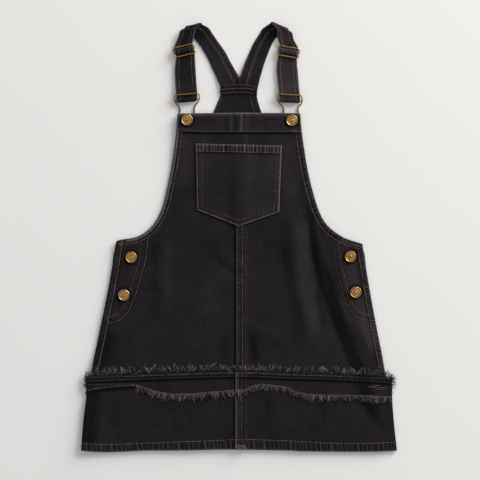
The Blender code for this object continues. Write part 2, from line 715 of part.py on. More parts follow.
def slider(side):
    """A rectangular wire slider with a middle bar, lying on the strap."""
    centre, turn = SLIDERS[side]
    w, d, r = SLIDER_HALF_WIDTH, SLIDER_HALF_DEPTH, SLIDER_CORNER
    corners = ((w - r, d - r), (r - w, d - r), (r - w, r - d), (w - r, r - d))
    flat = []
    for quarter, (x, y) in enumerate(corners):
        for angle in np.radians(90 * quarter + np.linspace(0, 90, 4)):
            flat.append((x + r * math.cos(angle), y + r * math.sin(angle)))
        if quarter in (1, 3):  # down the left wire, then up the right one
            side_x = math.copysign(w, x)
            flat += [(side_x, SLIDER_MIDDLE), (side_x, -SLIDER_MIDDLE)][:: 2 - quarter]
    angle = math.radians(turn)
    ring = []
    for x, y in flat:
        dip = SLIDER_DIP * (1 - min(1.0, abs(y) / (d - r)) ** 2)
        turned_x = centre.x + x * math.cos(angle) - y * math.sin(angle)
        turned_y = centre.y + x * math.sin(angle) + y * math.cos(angle)
        ring.append((turned_x, turned_y, SLIDER_HEIGHT - dip))
    made = wire_ring(f"slider_{side}", ring, SLIDER_WIRE)
    reach = Point(w * math.cos(angle), w * math.sin(angle))
    level = SLIDER_HEIGHT - SLIDER_DIP * (1 - (SLIDER_MIDDLE / (d - r)) ** 2)
    ends = [(centre.x + sign * reach.x, centre.y + sign * reach.y, level) for sign in (-1, 1)]
    add_crossbar(made, *ends, SLIDER_WIRE * CROSSBAR_SHARE)


def hook(side):
    """A wire hook: a bar over the strap, a lower bar in its turn, and a loop behind the bib's button."""
    centre, _ = BUTTONS[f"button_bib_{side}"]
    right = through([(s.half_width, s.up, s.height) for s in HOOK_SIDE], 2)
    loop = [
        (HOOK_LOOP_RADIUS * math.cos(a), -HOOK_LOOP_RADIUS * math.sin(a), HOOK_LOOP_HEIGHT)
        for a in np.linspace(0, math.pi, 10)
    ]
    left = right[::-1] * (-1, 1, 1)
    lean = HOOK_LEAN[side] / HOOK_SIDE[0].up
    points = [(centre.x + x + lean * max(y, 0.0), centre.y + y, z) for x, y, z in [*right, *loop, *left]]
    made = wire_ring(f"hook_{side}", points, HOOK_WIRE)
    foot = hook_foot(side)
    ends = [(foot.x + sign * HOOK_CROSSBAR.x, foot.y, HOOK_CROSSBAR_HEIGHT) for sign in (-1, 1)]
    add_crossbar(made, *ends, HOOK_WIRE * CROSSBAR_SHARE)


def button(name):
    """A tack button: a turned profile, from the foot of its stem to the crown of its head."""
    place, seat = BUTTONS[name]
    rim = seat + BUTTON_STEM
    profile = (
        (0.0, seat),
        (BUTTON_STEM_RADIUS, seat),
        (BUTTON_STEM_RADIUS, rim),
        (BUTTON_RADIUS - 0.6, rim),
        (BUTTON_RADIUS, rim + 0.7),
        (BUTTON_RADIUS - 0.8, rim + 1.6),
        (BUTTON_RADIUS * 0.6, rim + BUTTON_HEAD - 0.4),
        (0.0, rim + BUTTON_HEAD),
    )
    shape = bmesh.new()
    points = [shape.verts.new((radius * MM, 0.0, height * MM)) for radius, height in profile]
    edges = [shape.edges.new(pair) for pair in zip(points, points[1:])]
    bmesh.ops.spin(
        shape,
        geom=points + edges,
        axis=(0, 0, 1),
        cent=(0, 0, 0),
        angle=2 * math.pi,
        steps=BUTTON_SIDES,
        use_merge=True,
    )
    bmesh.ops.remove_doubles(shape, verts=shape.verts, dist=1e-6)
    bmesh.ops.recalc_face_normals(shape, faces=shape.faces)
    mesh = bpy.data.meshes.new(name)
    shape.to_mesh(mesh)
    shape.free()
    mesh.shade_smooth()
    obj = add_object(name, mesh, "brass")
    obj.location = (place.x * MM, place.y * MM, 0.0)


def build():
    """Makes every piece, from the floor up."""
    clear_scene()
    back_panel()
    back_hem()
    bands()
    for side in ("left", "right"):
        front_panel(side)
        front_hem(side)
    bib_band()
    bib_pocket()
    for side in ("left", "right"):
        strap(side)
        slider(side)
        hook(side)
    for name in BUTTONS:
        button(name)


build()
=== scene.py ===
"""The looks of a black denim pinafore dress that lies flat on its back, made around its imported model.

Every size and place is in millimetres, with +X to the viewer's right, +Y from the hem to the shoulder straps
and +Z up out of the front; MM turns them into metres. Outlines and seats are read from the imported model. Each
piece of cloth is a thin closed wall over a fine grid: its upper face is a height worked out at every grid
point from the layers below it, its folds, and the borders and rows of stitches sewn along it.
"""

import logging
import math
from collections.abc import Callable, Sequence
from dataclasses import dataclass, field
from enum import Enum
from typing import Any

import bpy
import numpy as np
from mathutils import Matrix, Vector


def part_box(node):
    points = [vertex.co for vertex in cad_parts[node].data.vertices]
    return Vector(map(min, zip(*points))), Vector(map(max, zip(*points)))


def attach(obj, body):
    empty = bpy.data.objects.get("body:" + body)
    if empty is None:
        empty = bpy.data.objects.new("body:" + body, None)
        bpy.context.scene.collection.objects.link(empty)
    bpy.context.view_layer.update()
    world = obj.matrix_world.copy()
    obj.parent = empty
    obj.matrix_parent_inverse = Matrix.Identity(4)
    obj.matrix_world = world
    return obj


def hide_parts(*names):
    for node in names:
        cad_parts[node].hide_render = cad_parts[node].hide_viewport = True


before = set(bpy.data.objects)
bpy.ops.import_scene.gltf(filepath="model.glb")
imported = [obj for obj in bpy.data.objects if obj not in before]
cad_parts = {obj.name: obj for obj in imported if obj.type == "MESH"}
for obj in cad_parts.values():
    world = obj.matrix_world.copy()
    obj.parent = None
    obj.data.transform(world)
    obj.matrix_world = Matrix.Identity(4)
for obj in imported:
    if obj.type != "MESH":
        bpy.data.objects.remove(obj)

Array = np.ndarray
Pair = tuple[Array, Array]
Span = tuple[float, float]
Surface = Callable[[Array, Array], Array]

LOG = logging.getLogger("pinafore")
MM = 0.001

# How the layers stack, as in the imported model
CLOTH = 1.2
LAYER = 1.5
FRONT_TOP = 4.2
LAP_LEFT, LAP_RIGHT, LAP_RAMP = -4.8, 9.2, 5.3
LAP_END = LAP_RIGHT - 1.2  # where the left half stops, under the lap
BAND_SHIFT, HEM_SHIFT = 1.0, 1.7  # how far left of LAP_LEFT the folds of the band and the hem panel lie
EDGE_DROP, EDGE_REACH = 0.7, 30.0
COARSE = 4  # the underside of a wall keeps every fourth line of its grid


class Side(Enum):
    """A side of the garment as the viewer sees it; the value points away from the centre front."""

    LEFT = -1.0
    RIGHT = 1.0

    @property
    def word(self) -> str:
        """The side's name in lower case, as in the names of the nodes."""
        return self.name.lower()


class Slot(Enum):
    """The kinds of finish: denim, fray and brass."""

    DENIM = "denim"
    FRAY = "fray"
    BRASS = "brass"


# ---- Lines and numbers ----


def soft(value: Array) -> Array:
    """0 below 0, 1 above 1, and between them the S-shaped cubic 3t^2 - 2t^3."""
    value = np.clip(value, 0.0, 1.0)
    return value * value * (3 - 2 * value)


def bump(value: Array, width: float) -> Array:
    """A bell of height 1 at 0: e to the minus square of value over width."""
    return np.exp(-((value / width) ** 2))


def through(points: Any, steps: int) -> Array:
    """A smooth curve through points.

    Each span is the Catmull-Rom cubic, whose slope at a point is half the chord between its neighbours.

    Args:
        points: Rows of coordinates, at least two.
        steps: Pieces that each span is cut into.

    Returns:
        The curve's points, the given ones among them.
    """
    rows = np.asarray(points, float)
    padded = np.vstack([2 * rows[0] - rows[1], rows, 2 * rows[-1] - rows[-2]])
    a, b, c, d = (padded[k : len(padded) - 3 + k, None] for k in range(4))
    t = (np.arange(steps) / steps)[None, :, None]
    bend, twist = 2 * a - 5 * b + 4 * c - d, 3 * b - a - 3 * c + d
    curve = 0.5 * (2 * b + (c - a) * t + bend * t**2 + twist * t**3)
    return np.vstack([curve.reshape(-1, rows.shape[1]), rows[-1:]])


def lengths(line: Array) -> Array:
    """The distance travelled along a polyline up to each of its points."""
    return np.concatenate([[0.0], np.cumsum(np.linalg.norm(np.diff(line, axis=0), axis=1))])


def sample(rows: Array, travelled: Array, places: Array) -> Array:
    """Rows of numbers read off between them, with the shape of places and the columns last."""
    return np.stack([np.interp(places, travelled, column) for column in rows.T], axis=-1)


def at(line: Array, places: Array) -> Array:
    """The points of a polyline at these distances along it, with the coordinates last."""
    return sample(line, lengths(line), places)


def edge_x(edge: Array, y: Array) -> Array:
    """Where an outline that runs down the garment is at each level."""
    return np.interp(-y, -edge[:, 1], edge[:, 0])


def from_left(side: Side, inner: Array, outer: Array) -> Pair:
    """The inner and the outer edge of a half, as its left and its right one."""
    return (inner, outer) if side is Side.RIGHT else (outer, inner)


def beside(line: Array, distance: float) -> Array:
    """A line in plan moved sideways, to the left of its direction."""
    slope = np.gradient(line, axis=0)
    slope /= np.linalg.norm(slope, axis=1)[:, None]
    return line + distance * np.column_stack([-slope[:, 1], slope[:, 0]])


def measure(x: Array, y: Array, line: Array) -> Pair:
    """How far points lie from a polyline, and how far along it.

    For each straight piece, the foot of the perpendicular, kept inside the piece, gives a distance; the least
    one counts.

    Args:
        x, y: Plan positions.
        line: Rows of x and y.

    Returns:
        The distances to the line, and along it to the nearest point.
    """
    nearest, along = np.full(x.shape, np.inf), np.zeros(x.shape)
    travelled = lengths(line)
    for start, end, before in zip(line[:-1], line[1:], travelled):
        run = end - start
        length = np.hypot(*run)
        share = np.clip(((x - start[0]) * run[0] + (y - start[1]) * run[1]) / length**2, 0, 1)
        gap = np.hypot(x - start[0] - share * run[0], y - start[1] - share * run[1])
        closer = gap < nearest
        nearest = np.where(closer, gap, nearest)
        along = np.where(closer, before + share * length, along)
    return nearest, along


def ticks(
    length: float, step: float, fine: float, reach: float, start: bool = True, end: bool = True
) -> Array:
    """Places from 0 to 1 that crowd together near the ends of a length.

    The spacing is `fine` at a marked end and eases to `step` at `reach` from it. The places are equal steps
    of the integral of one over the spacing, and their number suits the underside's coarser grid.

    Args:
        length: The whole length.
        step: Spacing far from the ends.
        fine: Spacing at a marked end.
        reach: How far from an end the spacing grows.
        start: Whether places crowd at 0.
        end: Whether they crowd at 1.

    Returns:
        The places as shares of the length.
    """
    t = np.linspace(0, length, 2000)
    near = np.full_like(t, reach)
    near = np.minimum(near, t) if start else near
    near = np.minimum(near, length - t) if end else near
    spacing = fine + (step - fine) * soft(near / reach)
    total = np.concatenate([[0], np.cumsum(np.diff(t) / spacing[1:])])
    count = COARSE * math.ceil(total[-1] / COARSE)
    return np.interp(np.linspace(0, total[-1], count + 1), total, t) / length


def rumple(x: Array, y: Array, size: float, seed: int) -> Array:
    """Smooth noise from -1 to 1.

    Random values stand at the corners of square cells, and the S-shaped cubic blends them across each cell.

    Args:
        x, y: Plan positions.
        size: Side of a cell.
        seed: Picks the random values, and moves the cells.

    Returns:
        The noise at each position.
    """
    cells = 64
    table = np.random.default_rng(seed).uniform(-1, 1, (cells, cells))
    u, v = x / size + 0.37 * seed, y / size + 0.61 * seed
    i, j = np.floor(u).astype(int), np.floor(v).astype(int)
    s, t = soft(u - i), soft(v - j)
    i, j, right, above = i % cells, j % cells, (i + 1) % cells, (j + 1) % cells
    low = table[i, j] * (1 - s) + table[right, j] * s
    high = table[i, above] * (1 - s) + table[right, above] * s
    return low * (1 - t) + high * t


def wavy(along: Array, wave: float, seed: float) -> Array:
    """An uneven ripple from -1 to 1: a sine whose phase and height each drift with slower sines."""
    turn = 2 * math.pi * along / wave
    drift = 1.5 * np.sin(turn / 5.3 + seed) + 0.8 * np.sin(turn / 2.7 + 2 * seed)
    return np.sin(turn + drift) * (0.7 + 0.3 * np.sin(turn / 3.1 + 3 * seed))


# ---- Meshes ----


def linked(name: str, data: Any) -> Any:
    """A new object with this mesh, light or camera, in the scene."""
    made = bpy.data.objects.new(name, data)
    bpy.context.scene.collection.objects.link(made)
    return made


def mesh_object(
    name: str, points: Array, faces: Sequence[Array], marks: dict[str, Array], crease: float
) -> Any:
    """A mesh object from whole arrays.

    Args:
        name: The object's name.
        points: Rows of coordinates in millimetres.
        faces: Corner indices, one array for each number of corners.
        marks: Attributes of the points: one number each, or three.
        crease: Angle in degrees above which an edge is shaded sharp.

    Returns:
        The object.
    """
    mesh = bpy.data.meshes.new(name)
    corners = np.concatenate([group.ravel() for group in faces])
    counts = np.concatenate([np.full(len(group), group.shape[1]) for group in faces])
    mesh.vertices.add(len(points))
    mesh.vertices.foreach_set("co", (points * MM).astype(np.float32).ravel())
    mesh.loops.add(len(corners))
    mesh.loops.foreach_set("vertex_index", corners.astype(np.int32))
    mesh.polygons.add(len(counts))
    mesh.polygons.foreach_set("loop_start", np.concatenate([[0], np.cumsum(counts)[:-1]]).astype(np.int32))
    mesh.update(calc_edges=True)
    for mark, values in marks.items():
        kind, target = ("FLOAT", "value") if values.ndim == 1 else ("FLOAT_VECTOR", "vector")
        mesh.attributes.new(mark, kind, "POINT").data.foreach_set(target, values.astype(np.float32).ravel())
    mesh.shade_smooth()
    mesh.set_sharp_from_angle(angle=math.radians(crease))
    return linked(name, mesh)


def grid_faces(index: Array) -> Array:
    """The quads of a grid of point indices whose rows run down and whose columns run to the right."""
    return np.stack([index[:-1, :-1], index[1:, :-1], index[1:, 1:], index[:-1, 1:]], axis=-1).reshape(-1, 4)


def ring_faces(here: Array, there: Array) -> Array:
    """The quads from rings of point indices to the next ones; the last axis runs round a ring."""
    quads = np.stack([here, there, np.roll(there, -1, axis=-1), np.roll(here, -1, axis=-1)], axis=-1)
    return quads.reshape(-1, 4)


FLIPPED = [0, 3, 2, 1]  # the order of a quad's corners that turns it round


def shell(name: str, x: Array, y: Array, top: Array, under: Array, marks: dict[str, Array]) -> Any:
    """A closed wall of cloth over a grid.

    The upper face uses the whole grid and the lower face every fourth line of it. Round the rim, one polygon
    joins each coarse edge below to the four fine edges above it.

    Args:
        name: The object's name.
        x, y: Plan positions, in rows down the garment and columns to the right.
        top: Heights of the upper face.
        under: Heights of the lower face.
        marks: Attributes of the grid's points.

    Returns:
        The object.
    """
    rows, columns = x.shape
    over = np.arange(rows * columns).reshape(rows, columns)
    coarse = (slice(None, None, COARSE), slice(None, None, COARSE))
    below = rows * columns + np.arange(over[coarse].size).reshape(over[coarse].shape)
    upper, lower = grid_faces(over), grid_faces(below)[:, FLIPPED]
    rim_over = np.concatenate([over[0, :-1], over[:-1, -1], over[-1, :0:-1], over[:0:-1, 0]])
    rim_below = np.concatenate([below[0, :-1], below[:-1, -1], below[-1, :0:-1], below[:0:-1, 0]])
    start = np.arange(len(rim_below)) * COARSE
    fine = rim_over[(start[:, None] + np.arange(COARSE + 1)) % len(rim_over)]
    rim = np.column_stack([fine, np.roll(rim_below, -1), rim_below])
    upper_points, lower_points = np.stack([x, y, top], axis=-1), np.stack([x, y, under], axis=-1)[coarse]
    points = np.vstack([upper_points.reshape(-1, 3), lower_points.reshape(-1, 3)])
    kept = {
        mark: np.concatenate([v.reshape(-1, *v.shape[2:]), v[coarse].reshape(-1, *v.shape[2:])])
        for mark, v in marks.items()
    }
    return mesh_object(name, points, [upper, lower, rim], kept, 60)


def tubes(
    centres: Array, radii: Array, up: Array, sides: int, closed: bool = False
) -> tuple[Array, list[Array]]:
    """Many round tubes at once.

    At each point of a centre line, a ring lies in the plane of two directions: the tangent crossed with `up`,
    and that crossed with the tangent.

    Args:
        centres: Points, shaped (tubes, points along, 3).
        radii: Radii, spread over (tubes, points along).
        up: Directions never along a tube, spread over the centres.
        sides: Sides of a ring.
        closed: Whether each tube's last point joins its first.

    Returns:
        The points, and the faces: quads and, for open tubes, end caps.
    """
    count, stations = centres.shape[:2]
    if closed:
        tangent = np.roll(centres, -1, axis=1) - np.roll(centres, 1, axis=1)
    else:
        tangent = np.gradient(centres, axis=1)
    tangent /= np.linalg.norm(tangent, axis=-1, keepdims=True)
    across = np.cross(tangent, np.broadcast_to(up, centres.shape))
    across /= np.linalg.norm(across, axis=-1, keepdims=True)
    lift = np.cross(across, tangent)
    angle = 2 * math.pi * np.arange(sides) / sides
    ring = np.cos(angle)[:, None] * across[:, :, None] + np.sin(angle)[:, None] * lift[:, :, None]
    points = centres[:, :, None] + np.broadcast_to(radii, (count, stations))[:, :, None, None] * ring
    index = np.arange(count * stations * sides).reshape(count, stations, sides)
    here, there = (index, np.roll(index, -1, axis=1)) if closed else (index[:, :-1], index[:, 1:])
    faces = [ring_faces(here, there)]
    if not closed:
        faces.append(np.concatenate([index[:, 0], index[:, -1, ::-1]]))
    return points.reshape(-1, 3), faces


def finish_piece(piece: Any, material: Any, slot: Slot | None, *nodes: str) -> Any:
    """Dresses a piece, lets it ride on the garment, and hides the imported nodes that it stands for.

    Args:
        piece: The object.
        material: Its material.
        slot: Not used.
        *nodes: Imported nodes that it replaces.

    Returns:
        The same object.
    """
    piece.data.materials.append(material)
    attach(piece, "root")
    if nodes:
        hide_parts(*nodes)
    LOG.info("%s: %d polygons", piece.name, len(piece.data.polygons))
    return piece


# ---- Finishes ----


class Tree:
    """Adds nodes to a node tree in few words."""

    def __init__(self, tree: Any) -> None:
        """Keeps a material's or a group's node tree."""
        self.tree = tree

    def feed(self, node: Any, inputs: dict[Any, Any]) -> None:
        """Links sockets to a node's inputs, and sets constants on the node's own sockets.

        Args:
            node: The node.
            inputs: Sockets or values, by the input's name or place.
        """
        for name, value in inputs.items():
            if isinstance(value, bpy.types.NodeSocket):
                self.tree.links.new(value, node.inputs[name])
            else:
                node.inputs[name].default_value = value

    def add(self, kind: str, inputs: dict[Any, Any] | None = None, **settings: Any) -> Any:
        """Adds a node.

        Args:
            kind: Its type without the ShaderNode in front.
            inputs: Values or sockets for its inputs, by name or by place.
            **settings: Its own properties.

        Returns:
            The node.
        """
        made = self.tree.nodes.new(f"ShaderNode{kind}")
        for name, value in settings.items():
            setattr(made, name, value)
        self.feed(made, inputs or {})
        return made

    def math(self, operation: str, *values: Any) -> Any:
        """The result of a Math node on these values or sockets."""
        return self.add("Math", dict(enumerate(values)), operation=operation).outputs[0]

    def blend(self, share: Any, low: Any, high: Any) -> Any:
        """The colour between two colours, at a share from 0 to 1."""
        return self.add("Mix", {0: share, 6: low, 7: high}, data_type="RGBA").outputs[2]

    def clamped(self, value: Any) -> Any:
        """A value kept from 0 to 1."""
        return self.add("Clamp", {"Value": value}).outputs[0]

    def ramp(self, value: Any, low: float, high: float, start: float = 0.0, end: Any = 1.0) -> Any:
        """A value that runs from start to end while the given one runs from low to high."""
        inputs = {"Value": value, "From Min": low, "From Max": high, "To Min": start, "To Max": end}
        return self.add("MapRange", inputs).outputs[0]

    def mark(self, name: str, output: str = "Fac") -> Any:
        """An attribute of the mesh."""
        return self.add("Attribute", attribute_name=name).outputs[output]

    def place(self) -> Any:
        """The place on the object, in metres."""
        return self.add("TexCoord").outputs["Object"]

    def noise(self, vector: Any, scale: Any, detail: float = 2.0) -> Any:
        """The value of a Noise Texture on a vector."""
        return self.add("TexNoise", {"Vector": vector, "Scale": scale, "Detail": detail}).outputs["Fac"]

    def stretched(self, vector: Any, along_warp: float) -> Any:
        """A vector scaled along the warp."""
        return self.add("Mapping", {"Vector": vector, "Scale": (1.0, along_warp, 1.0)}).outputs[0]

    def dented(self, height: Any, strength: float, depth: float) -> Any:
        """A normal bent by a height; depth is in metres."""
        return self.add("Bump", {"Height": height, "Strength": strength, "Distance": depth}).outputs[0]


def group(name: str, inputs: dict[str, float], outputs: Sequence[str]) -> tuple[Any, Tree, Any, Any]:
    """An empty node group with number sockets.

    Args:
        name: The group's name.
        inputs: Its inputs and their values at first.
        outputs: Its outputs.

    Returns:
        The group, its tree, and its input and output nodes.
    """
    made = bpy.data.node_groups.new(name, "ShaderNodeTree")
    for label, value in inputs.items():
        made.interface.new_socket(label, in_out="INPUT", socket_type="NodeSocketFloat").default_value = value
    for label in outputs:
        made.interface.new_socket(label, in_out="OUTPUT", socket_type="NodeSocketFloat")
    return made, Tree(made), made.nodes.new("NodeGroupInput"), made.nodes.new("NodeGroupOutput")


def twill_group() -> Any:
    """The weave that every denim shares: diagonal ribs, slubs down the warp, grain and cloudy wash.

    The ribs are the sine of the distance along a steep diagonal; the others are noises, one of them drawn out
    along the warp. All of them read the attribute `weave`, the place on the cut cloth in metres.

    Returns:
        The node group.
    """
    made, tree, given, taken = group(
        "Twill", {"Pitch": 0.0011, "Slub": 1.0, "Grain": 1.0, "Cloud": 1.0}, ("Tone", "Height", "Grain")
    )
    place = tree.mark("weave", "Vector")
    grain = tree.noise(tree.stretched(place, 0.45), 1150.0)
    fine = tree.noise(tree.stretched(place, 0.6), 3200.0, 1.0)
    slub = tree.noise(tree.stretched(place, 0.06), 620.0)
    speck, cloud = tree.noise(place, 360.0), tree.noise(place, 42.0, 3.0)
    steep = (0.86, 0.51, 0.0)
    diagonal = tree.add("VectorMath", {0: place, 1: steep}, operation="DOT_PRODUCT").outputs["Value"]
    turns = tree.math("MULTIPLY", tree.math("DIVIDE", diagonal, given.outputs["Pitch"]), 2 * math.pi)
    ribs = tree.math("SINE", tree.math("MULTIPLY_ADD", fine, 2.2, turns))
    tone = tree.math("MULTIPLY", ribs, 0.05)
    for noise, gain, strength in (
        (slub, 0.9, "Slub"), (grain, 0.9, "Grain"), (speck, 0.78, "Grain"), (cloud, 1.0, "Cloud"),
    ):
        swing = tree.math("MULTIPLY", tree.math("SUBTRACT", noise, 0.5), gain)
        tone = tree.math("ADD", tone, tree.math("MULTIPLY", swing, given.outputs[strength]))
    height = tree.math("MULTIPLY_ADD", ribs, 0.3, tree.math("ADD", grain, tree.math("MULTIPLY", slub, 0.6)))
    tone, grain = tree.math("ADD", tone, 0.5), tree.math("SUBTRACT", fine, 0.5)
    tree.feed(taken, {"Tone": tone, "Height": height, "Grain": grain})
    return made


def patina_group() -> Any:
    """Handled metal: a mask of dull patches, with finer pits, from two noises on the object's coordinates.

    Returns:
        The node group.
    """
    made, tree, given, taken = group("Patina", {"Size": 260.0, "Amount": 0.5}, ("Patch", "Pits"))
    place = tree.place()
    patch = tree.ramp(tree.noise(place, given.outputs["Size"], 4.0), 0.38, 0.68, end=given.outputs["Amount"])
    tree.feed(taken, {"Patch": patch, "Pits": tree.noise(place, 1900.0)})
    return made


def new_material(name: str) -> tuple[Any, Tree, Any]:
    """A new material, its tree, and its Principled BSDF."""
    made = bpy.data.materials.new(name)
    made.use_nodes = True
    return made, Tree(made.node_tree), made.node_tree.nodes["Principled BSDF"]


Colour = tuple[float, float, float, float]


@dataclass(frozen=True)
class DenimFinish:
    """Washed black denim: a dark warp over a lighter weft, paler where it rubs, with painted light and shade
    carried in the same mark as its washed-out tone.
    """

    name: str = "black_denim"
    dark: Colour = (0.0030, 0.0026, 0.0034, 1.0)
    pale: Colour = (0.0203, 0.0176, 0.0221, 1.0)
    # the palest colour, reached where the cloth is washed out and where light is painted on
    palest: Colour = (0.0350, 0.0262, 0.0322, 1.0)
    worn: Colour = (0.105, 0.100, 0.110, 1.0)
    wash_and_shade_gain: float = 0.55
    fading: Span = (0.75, 1.5)
    grain_gain: float = 0.9
    wearing: Span = (0.12, 1.05)
    roughness: float = 0.92
    sheen: float = 0.12
    sheen_roughness: float = 0.45
    specular: float = 0.12
    relief: float = 0.42
    relief_depth: float = 0.00028
    slub: float = 0.62
    cloud: float = 0.22

    def material(self, twill: Any) -> Any:
        """The finish as a material.

        Args:
            twill: The shared weave group.

        Returns:
            The material.
        """
        made, tree, shader = new_material(self.name)
        weave = tree.add("Group", {"Slub": self.slub, "Cloud": self.cloud}, node_tree=twill)
        # The mark read here holds the washed-out tone together with the painted light and shade, which move the
        # colour between dark, pale and palest.
        tone = tree.math("MULTIPLY_ADD", tree.mark("wash"), self.wash_and_shade_gain, weave.outputs["Tone"])
        wear = tree.math("MULTIPLY_ADD", weave.outputs["Grain"], self.grain_gain, tree.mark("wear"))
        colour = tree.blend(tree.clamped(tone), self.dark, self.pale)
        colour = tree.blend(tree.ramp(tone, *self.fading), colour, self.palest)
        finish = {
            "Base Color": tree.blend(tree.ramp(wear, *self.wearing), colour, self.worn),
            "Normal": tree.dented(weave.outputs["Height"], self.relief, self.relief_depth),
            "Roughness": self.roughness, "Specular IOR Level": self.specular, "Sheen Weight": self.sheen,
            "Sheen Roughness": self.sheen_roughness,
        }
        tree.feed(shader, finish)
        return made


@dataclass(frozen=True)
class YarnFinish:
    """Spun yarn, each strand between two colours by its attribute `tone`."""

    name: str
    dark: Colour
    pale: Colour
    roughness: float = 0.85
    specular: float = 0.2
    fleck_scale: float = 2400.0
    fleck_gain: float = 0.5
    twist: float = 0.4
    twist_depth: float = 0.0001

    def material(self) -> Any:
        """The finish as a material.

        Returns:
            The material.
        """
        made, tree, shader = new_material(self.name)
        flecks = tree.noise(tree.place(), self.fleck_scale)
        swing = tree.math("SUBTRACT", flecks, 0.5)
        share = tree.math("MULTIPLY_ADD", swing, self.fleck_gain, tree.mark("tone"))
        finish = {
            "Base Color": tree.blend(tree.clamped(share), self.dark, self.pale),
            "Normal": tree.dented(flecks, self.twist, self.twist_depth), "Roughness": self.roughness,
            "Specular IOR Level": self.specular,
        }
        tree.feed(shader, finish)
        return made


@dataclass(frozen=True)
class BrassFinish:
    """Antique brass: bright where it is rubbed, brown in patches and in its hollows, and darkened where shade
    is painted on the wires low down.
    """

    name: str
    bright: Colour = (0.74, 0.455, 0.165, 1.0)
    dull: Colour = (0.34, 0.165, 0.045, 1.0)
    # also the colour of the painted shade on the wires low down
    hollow_and_shade: Colour = (0.045, 0.025, 0.012, 1.0)
    size: float = 260.0
    amount: float = 0.85
    roughness: Span = (0.27, 0.48)
    dents: float = 0.35
    dent_depth: float = 0.00012

    def material(self, patina: Any) -> Any:
        """The finish as a material.

        Args:
            patina: The shared patina group.

        Returns:
            The material.
        """
        made, tree, shader = new_material(self.name)
        aged = tree.add("Group", {"Size": self.size, "Amount": self.amount}, node_tree=patina)
        colour = tree.blend(aged.outputs["Patch"], self.bright, self.dull)
        finish = {
            "Base Color": tree.blend(tree.mark("hollow_and_shade"), colour, self.hollow_and_shade),
            "Normal": tree.dented(aged.outputs["Pits"], self.dents, self.dent_depth),
            "Roughness": tree.ramp(aged.outputs["Patch"], 0.0, 1.0, *self.roughness), "Metallic": 1.0,
        }
        tree.feed(shader, finish)
        return made


@dataclass(frozen=True)
class PaperFinish:
    """The pale surface that the garment lies on."""

    name: str = "pale_surface"
    colour: Colour = (0.93, 0.924, 0.915, 1.0)
    shade: float = 0.985
    roughness: float = 0.95
    specular: float = 0.1

    def material(self) -> Any:
        """The finish as a material.

        Returns:
            The material.
        """
        made, tree, shader = new_material(self.name)
        low = (*(self.shade * c for c in self.colour[:3]), 1.0)
        colour = tree.blend(tree.noise(tree.place(), 6.0, 3.0), low, self.colour)
        finish = {"Base Color": colour, "Roughness": self.roughness, "Specular IOR Level": self.specular}
        tree.feed(shader, finish)
        return made


class Wardrobe:
    """Every material of the garment, made once."""

    def __init__(self) -> None:
        """Makes the shared groups and the materials."""
        twill, patina = twill_group(), patina_group()
        self.denim = DenimFinish().material(twill)
        yarn = YarnFinish("frayed_yarn", (0.010, 0.008, 0.010, 1.0), (0.33, 0.279, 0.3233, 1.0))
        thread = YarnFinish("brown_thread", (0.060, 0.032, 0.018, 1.0), (0.43, 0.295, 0.165, 1.0))
        wire = BrassFinish("brass_wire", (0.54, 0.31, 0.105, 1.0), (0.22, 0.105, 0.032, 1.0), size=420.0)
        self.fray, self.thread = yarn.material(), thread.material()
        self.wire, self.button = wire.material(patina), BrassFinish("brass_button").material(patina)


# ---- How the cloth lies ----

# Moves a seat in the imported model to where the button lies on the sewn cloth
NUDGES = {"button_side_right_upper": (-1.7, 0.6, 0.0), "button_side_right_lower": (-1.4, 0.2, 0.0)}


def seat(node: str) -> Array:
    """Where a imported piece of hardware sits: its middle in plan, and the height of its lowest point."""
    low, high = (np.array(corner, float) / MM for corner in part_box(node))
    return np.array([*(low + high)[:2] / 2, low[2]]) + NUDGES.get(node, (0.0, 0.0, 0.0))


Line = tuple[Span, ...]


@dataclass(frozen=True)
class Fold:
    """A soft ridge (height > 0) or trough (height < 0) along a line."""

    line: Line
    half_width: float
    height: float

    def rise(self, x: Array, y: Array) -> Array:
        """The height it adds: a squared cosine across the line, brought to nothing at its two ends.

        Args:
            x, y: Plan positions.

        Returns:
            The height at each position.
        """
        path = through(self.line, 3)
        gap, along = measure(x, y, path)
        share = along / lengths(path)[-1]
        across = np.cos(np.clip(gap / self.half_width, 0, 1) * math.pi / 2) ** 2
        return self.height * across * soft(4 * share) * soft(4 * (1 - share))


FOLDS = [Fold(*row) for row in (
    (((88, 66), (92, 10), (98, -55), (112, -150), (118, -205)), 27, 3.0),
    (((112, 62), (118, 20), (124, -42), (150, -138), (190, -214)), 15, -1.3),
    (((121, 32), (127, -10), (138, -72), (144, -108)), 10, 1.2),
    (((150, 20), (160, -42), (186, -138), (214, -200)), 20, 1.6),
    (((60, 10), (78, -60), (98, -150)), 17, -0.5), (((-130, 20), (-128, -60), (-132, -140)), 21, 1.3),
    (((-60, -25), (-56, -80), (-60, -140)), 26, 0.8), (((-44, -28), (-24, -52), (0, -68)), 10, -0.6),
    (((-2, -132), (35, -153), (72, -172)), 10, 0.4),
    (((178, -252), (215, -295), (252, -340)), 14, -0.9),
    (((42, -252), (46, -275), (42, -305)), 10, -0.7),
    (((141, -256), (138, -285), (140, -318)), 11, -0.7),
    (((-190, -262), (-196, -300), (-188, -340)), 18, 0.6),
)]
